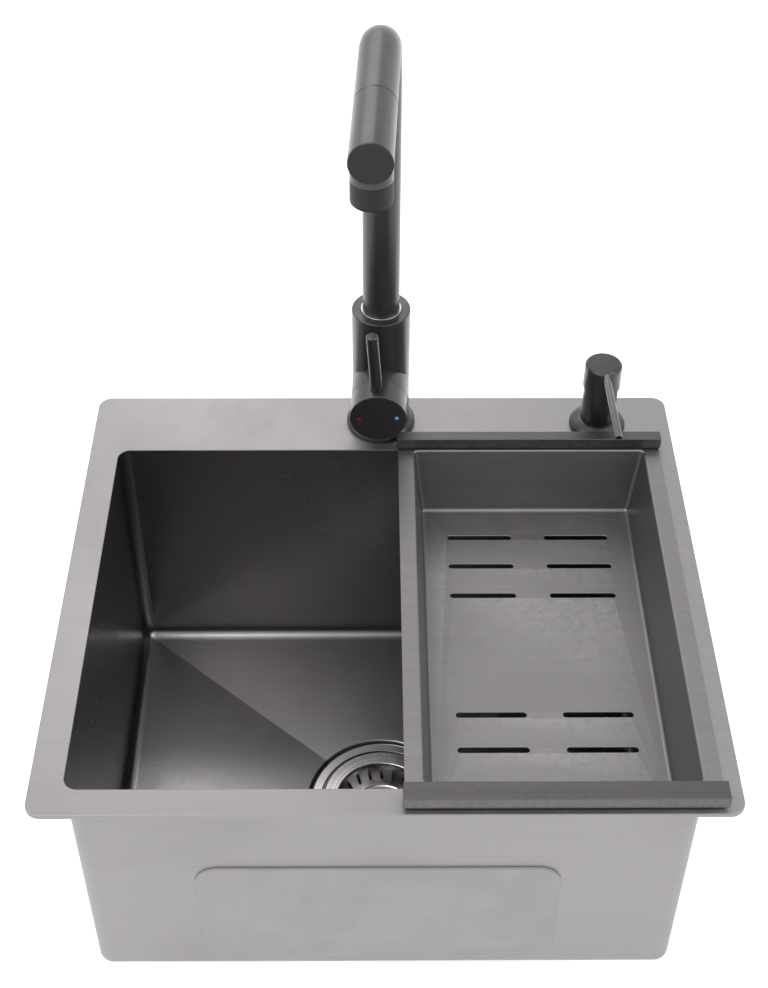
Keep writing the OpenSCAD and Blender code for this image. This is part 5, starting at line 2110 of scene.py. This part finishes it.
@dataclass(frozen=True)
class Studio:
    """The white floor, the soft lamps and the camera."""

    floor_z: float = -0.2769
    fill: float = 0.55
    glow: float = 0.72
    camera_at: tuple[float, float, float] = (-0.008, -0.783, 0.835)
    yaw: float = 0.58
    pitch: float = 43.67
    roll: float = -0.31
    focal_px: float = 1607.0
    frame_px: float = 768.0

    def world(self) -> None:
        """Makes a world that lights softly and looks white in the picture and in reflections."""
        world = bpy.data.worlds.new("studio")
        world.use_nodes = True
        bpy.context.scene.world = world
        sketch = Sketch(world.node_tree)
        strength = sketch.spread(sketch.seen(), 0.0, 1.0, self.fill, 1.0)
        back = sketch.add("ShaderNodeBackground", {"Color": (1, 1, 1, 1), "Strength": strength})
        sketch.add("ShaderNodeOutputWorld", {"Surface": back.outputs[0]})

    def floor(self) -> None:
        """Makes the pale floor, white in the picture but for the object's shadow."""
        mesh = bpy.data.meshes.new("floor")
        half = 6.0
        mesh.from_pydata([(-half, -half, 0), (half, -half, 0), (half, half, 0), (-half, half, 0)], [], [(0, 1, 2, 3)])
        floor = bpy.data.objects.new("floor", mesh)
        floor.location.z = self.floor_z
        bpy.context.scene.collection.objects.link(floor)
        paint = Paint("studio_floor")
        sketch = paint.sketch
        matt = sketch.add("ShaderNodeBsdfDiffuse", {"Color": (0.8, 0.8, 0.8, 1)})
        strength = sketch.math("MULTIPLY", sketch.seen(), self.glow)
        glow = sketch.add("ShaderNodeEmission", {"Color": (1, 1, 1, 1), "Strength": strength})
        both = sketch.add("ShaderNodeAddShader", {0: matt.outputs[0], 1: glow.outputs[0]})
        sketch.add("ShaderNodeOutputMaterial", {"Surface": both.outputs[0]})
        mesh.materials.append(paint.material)
        floor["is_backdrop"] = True

    def lamp(
        self, name: str, at: Sequence[float], to: Sequence[float], size: float, power: float, height: float = 0.0
    ) -> None:
        """Hangs one area lamp.

        Args:
            name: its name.
            at: where it hangs, in metres.
            to: the point that it faces.
            size: its width.
            power: its power in watts.
            height: its height, or 0 for a square one.
        """
        data = bpy.data.lights.new(name, "AREA")
        data.shape, data.size, data.size_y, data.energy = "RECTANGLE", size, height or size, power
        lamp = bpy.data.objects.new(name, data)
        lamp.location = at
        lamp.rotation_euler = (Vector(to) - Vector(at)).to_track_quat("-Z", "Y").to_euler()
        bpy.context.scene.collection.objects.link(lamp)

    def camera(self) -> None:
        """Places the camera as it was fitted to the photograph."""
        yaw, pitch, roll = (math.radians(v) for v in (self.yaw, self.pitch, self.roll))
        ahead = Vector((math.sin(yaw) * math.cos(pitch), math.cos(yaw) * math.cos(pitch), -math.sin(pitch)))
        right = Vector((math.cos(yaw), -math.sin(yaw), 0))
        down = ahead.cross(right)
        x = right * math.cos(roll) + down * math.sin(roll)
        y = right * math.sin(roll) - down * math.cos(roll)
        data = bpy.data.cameras.new("camera")
        data.sensor_fit, data.sensor_width = "HORIZONTAL", 36.0
        data.lens = 36.0 * self.focal_px / self.frame_px
        data.clip_start, data.clip_end = 0.05, 50
        camera = bpy.data.objects.new("camera", data)
        turn = Matrix((x, y, -ahead)).transposed().to_4x4()
        camera.matrix_world = Matrix.Translation(self.camera_at) @ turn
        bpy.context.scene.collection.objects.link(camera)
        bpy.context.scene.camera = camera

    def build(self) -> None:
        """Sets up the studio."""
        self.world()
        self.floor()
        for name, at, aim_z, size, power, height in (
            ("key", (-0.9, -0.7, 1.9), -0.05, 1.2, 16, 0),
            ("fill", (1.3, -0.6, 1.5), 0, 1.4, 8, 0),
            ("rear", (-0.35, 1.6, 1.5), 0.1, 1.2, 6.5, 0),
            ("left_strip", (-1.4, -0.1, 0.75), 0.1, 0.2, 3.8, 1.3),
            ("right_strip", (1.4, -0.1, 0.75), 0.1, 0.2, 2.2, 1.3),
        ):
            self.lamp(name, at, (0, 0, aim_z), size, power, height)
        self.camera()
        bpy.context.scene.view_settings.view_transform = "Standard"


def main() -> None:
    """Builds the sink piece by piece."""
    logging.basicConfig(level=logging.INFO, format="%(message)s")
    parts = (
        RimPlate(),
        Bowl(),
        SoundPads(),
        Strainer(),
        DrainTray(),
        Tap(),
        Handle(),
        Spout(),
        SprayHead(),
        SoapDispenser(),
        PackedNodes(),
        Studio(),
    )
    for part in parts:
        LOG.info("building %s", type(part).__name__)
        part.build()
    bpy.context.view_layer.update()
    boxes = {"cad": CAD_BOX, "visual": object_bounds()}
    {name: [list(corner) for corner in box] for name, box in boxes.items()}


if __name__ == "__main__":
    main()
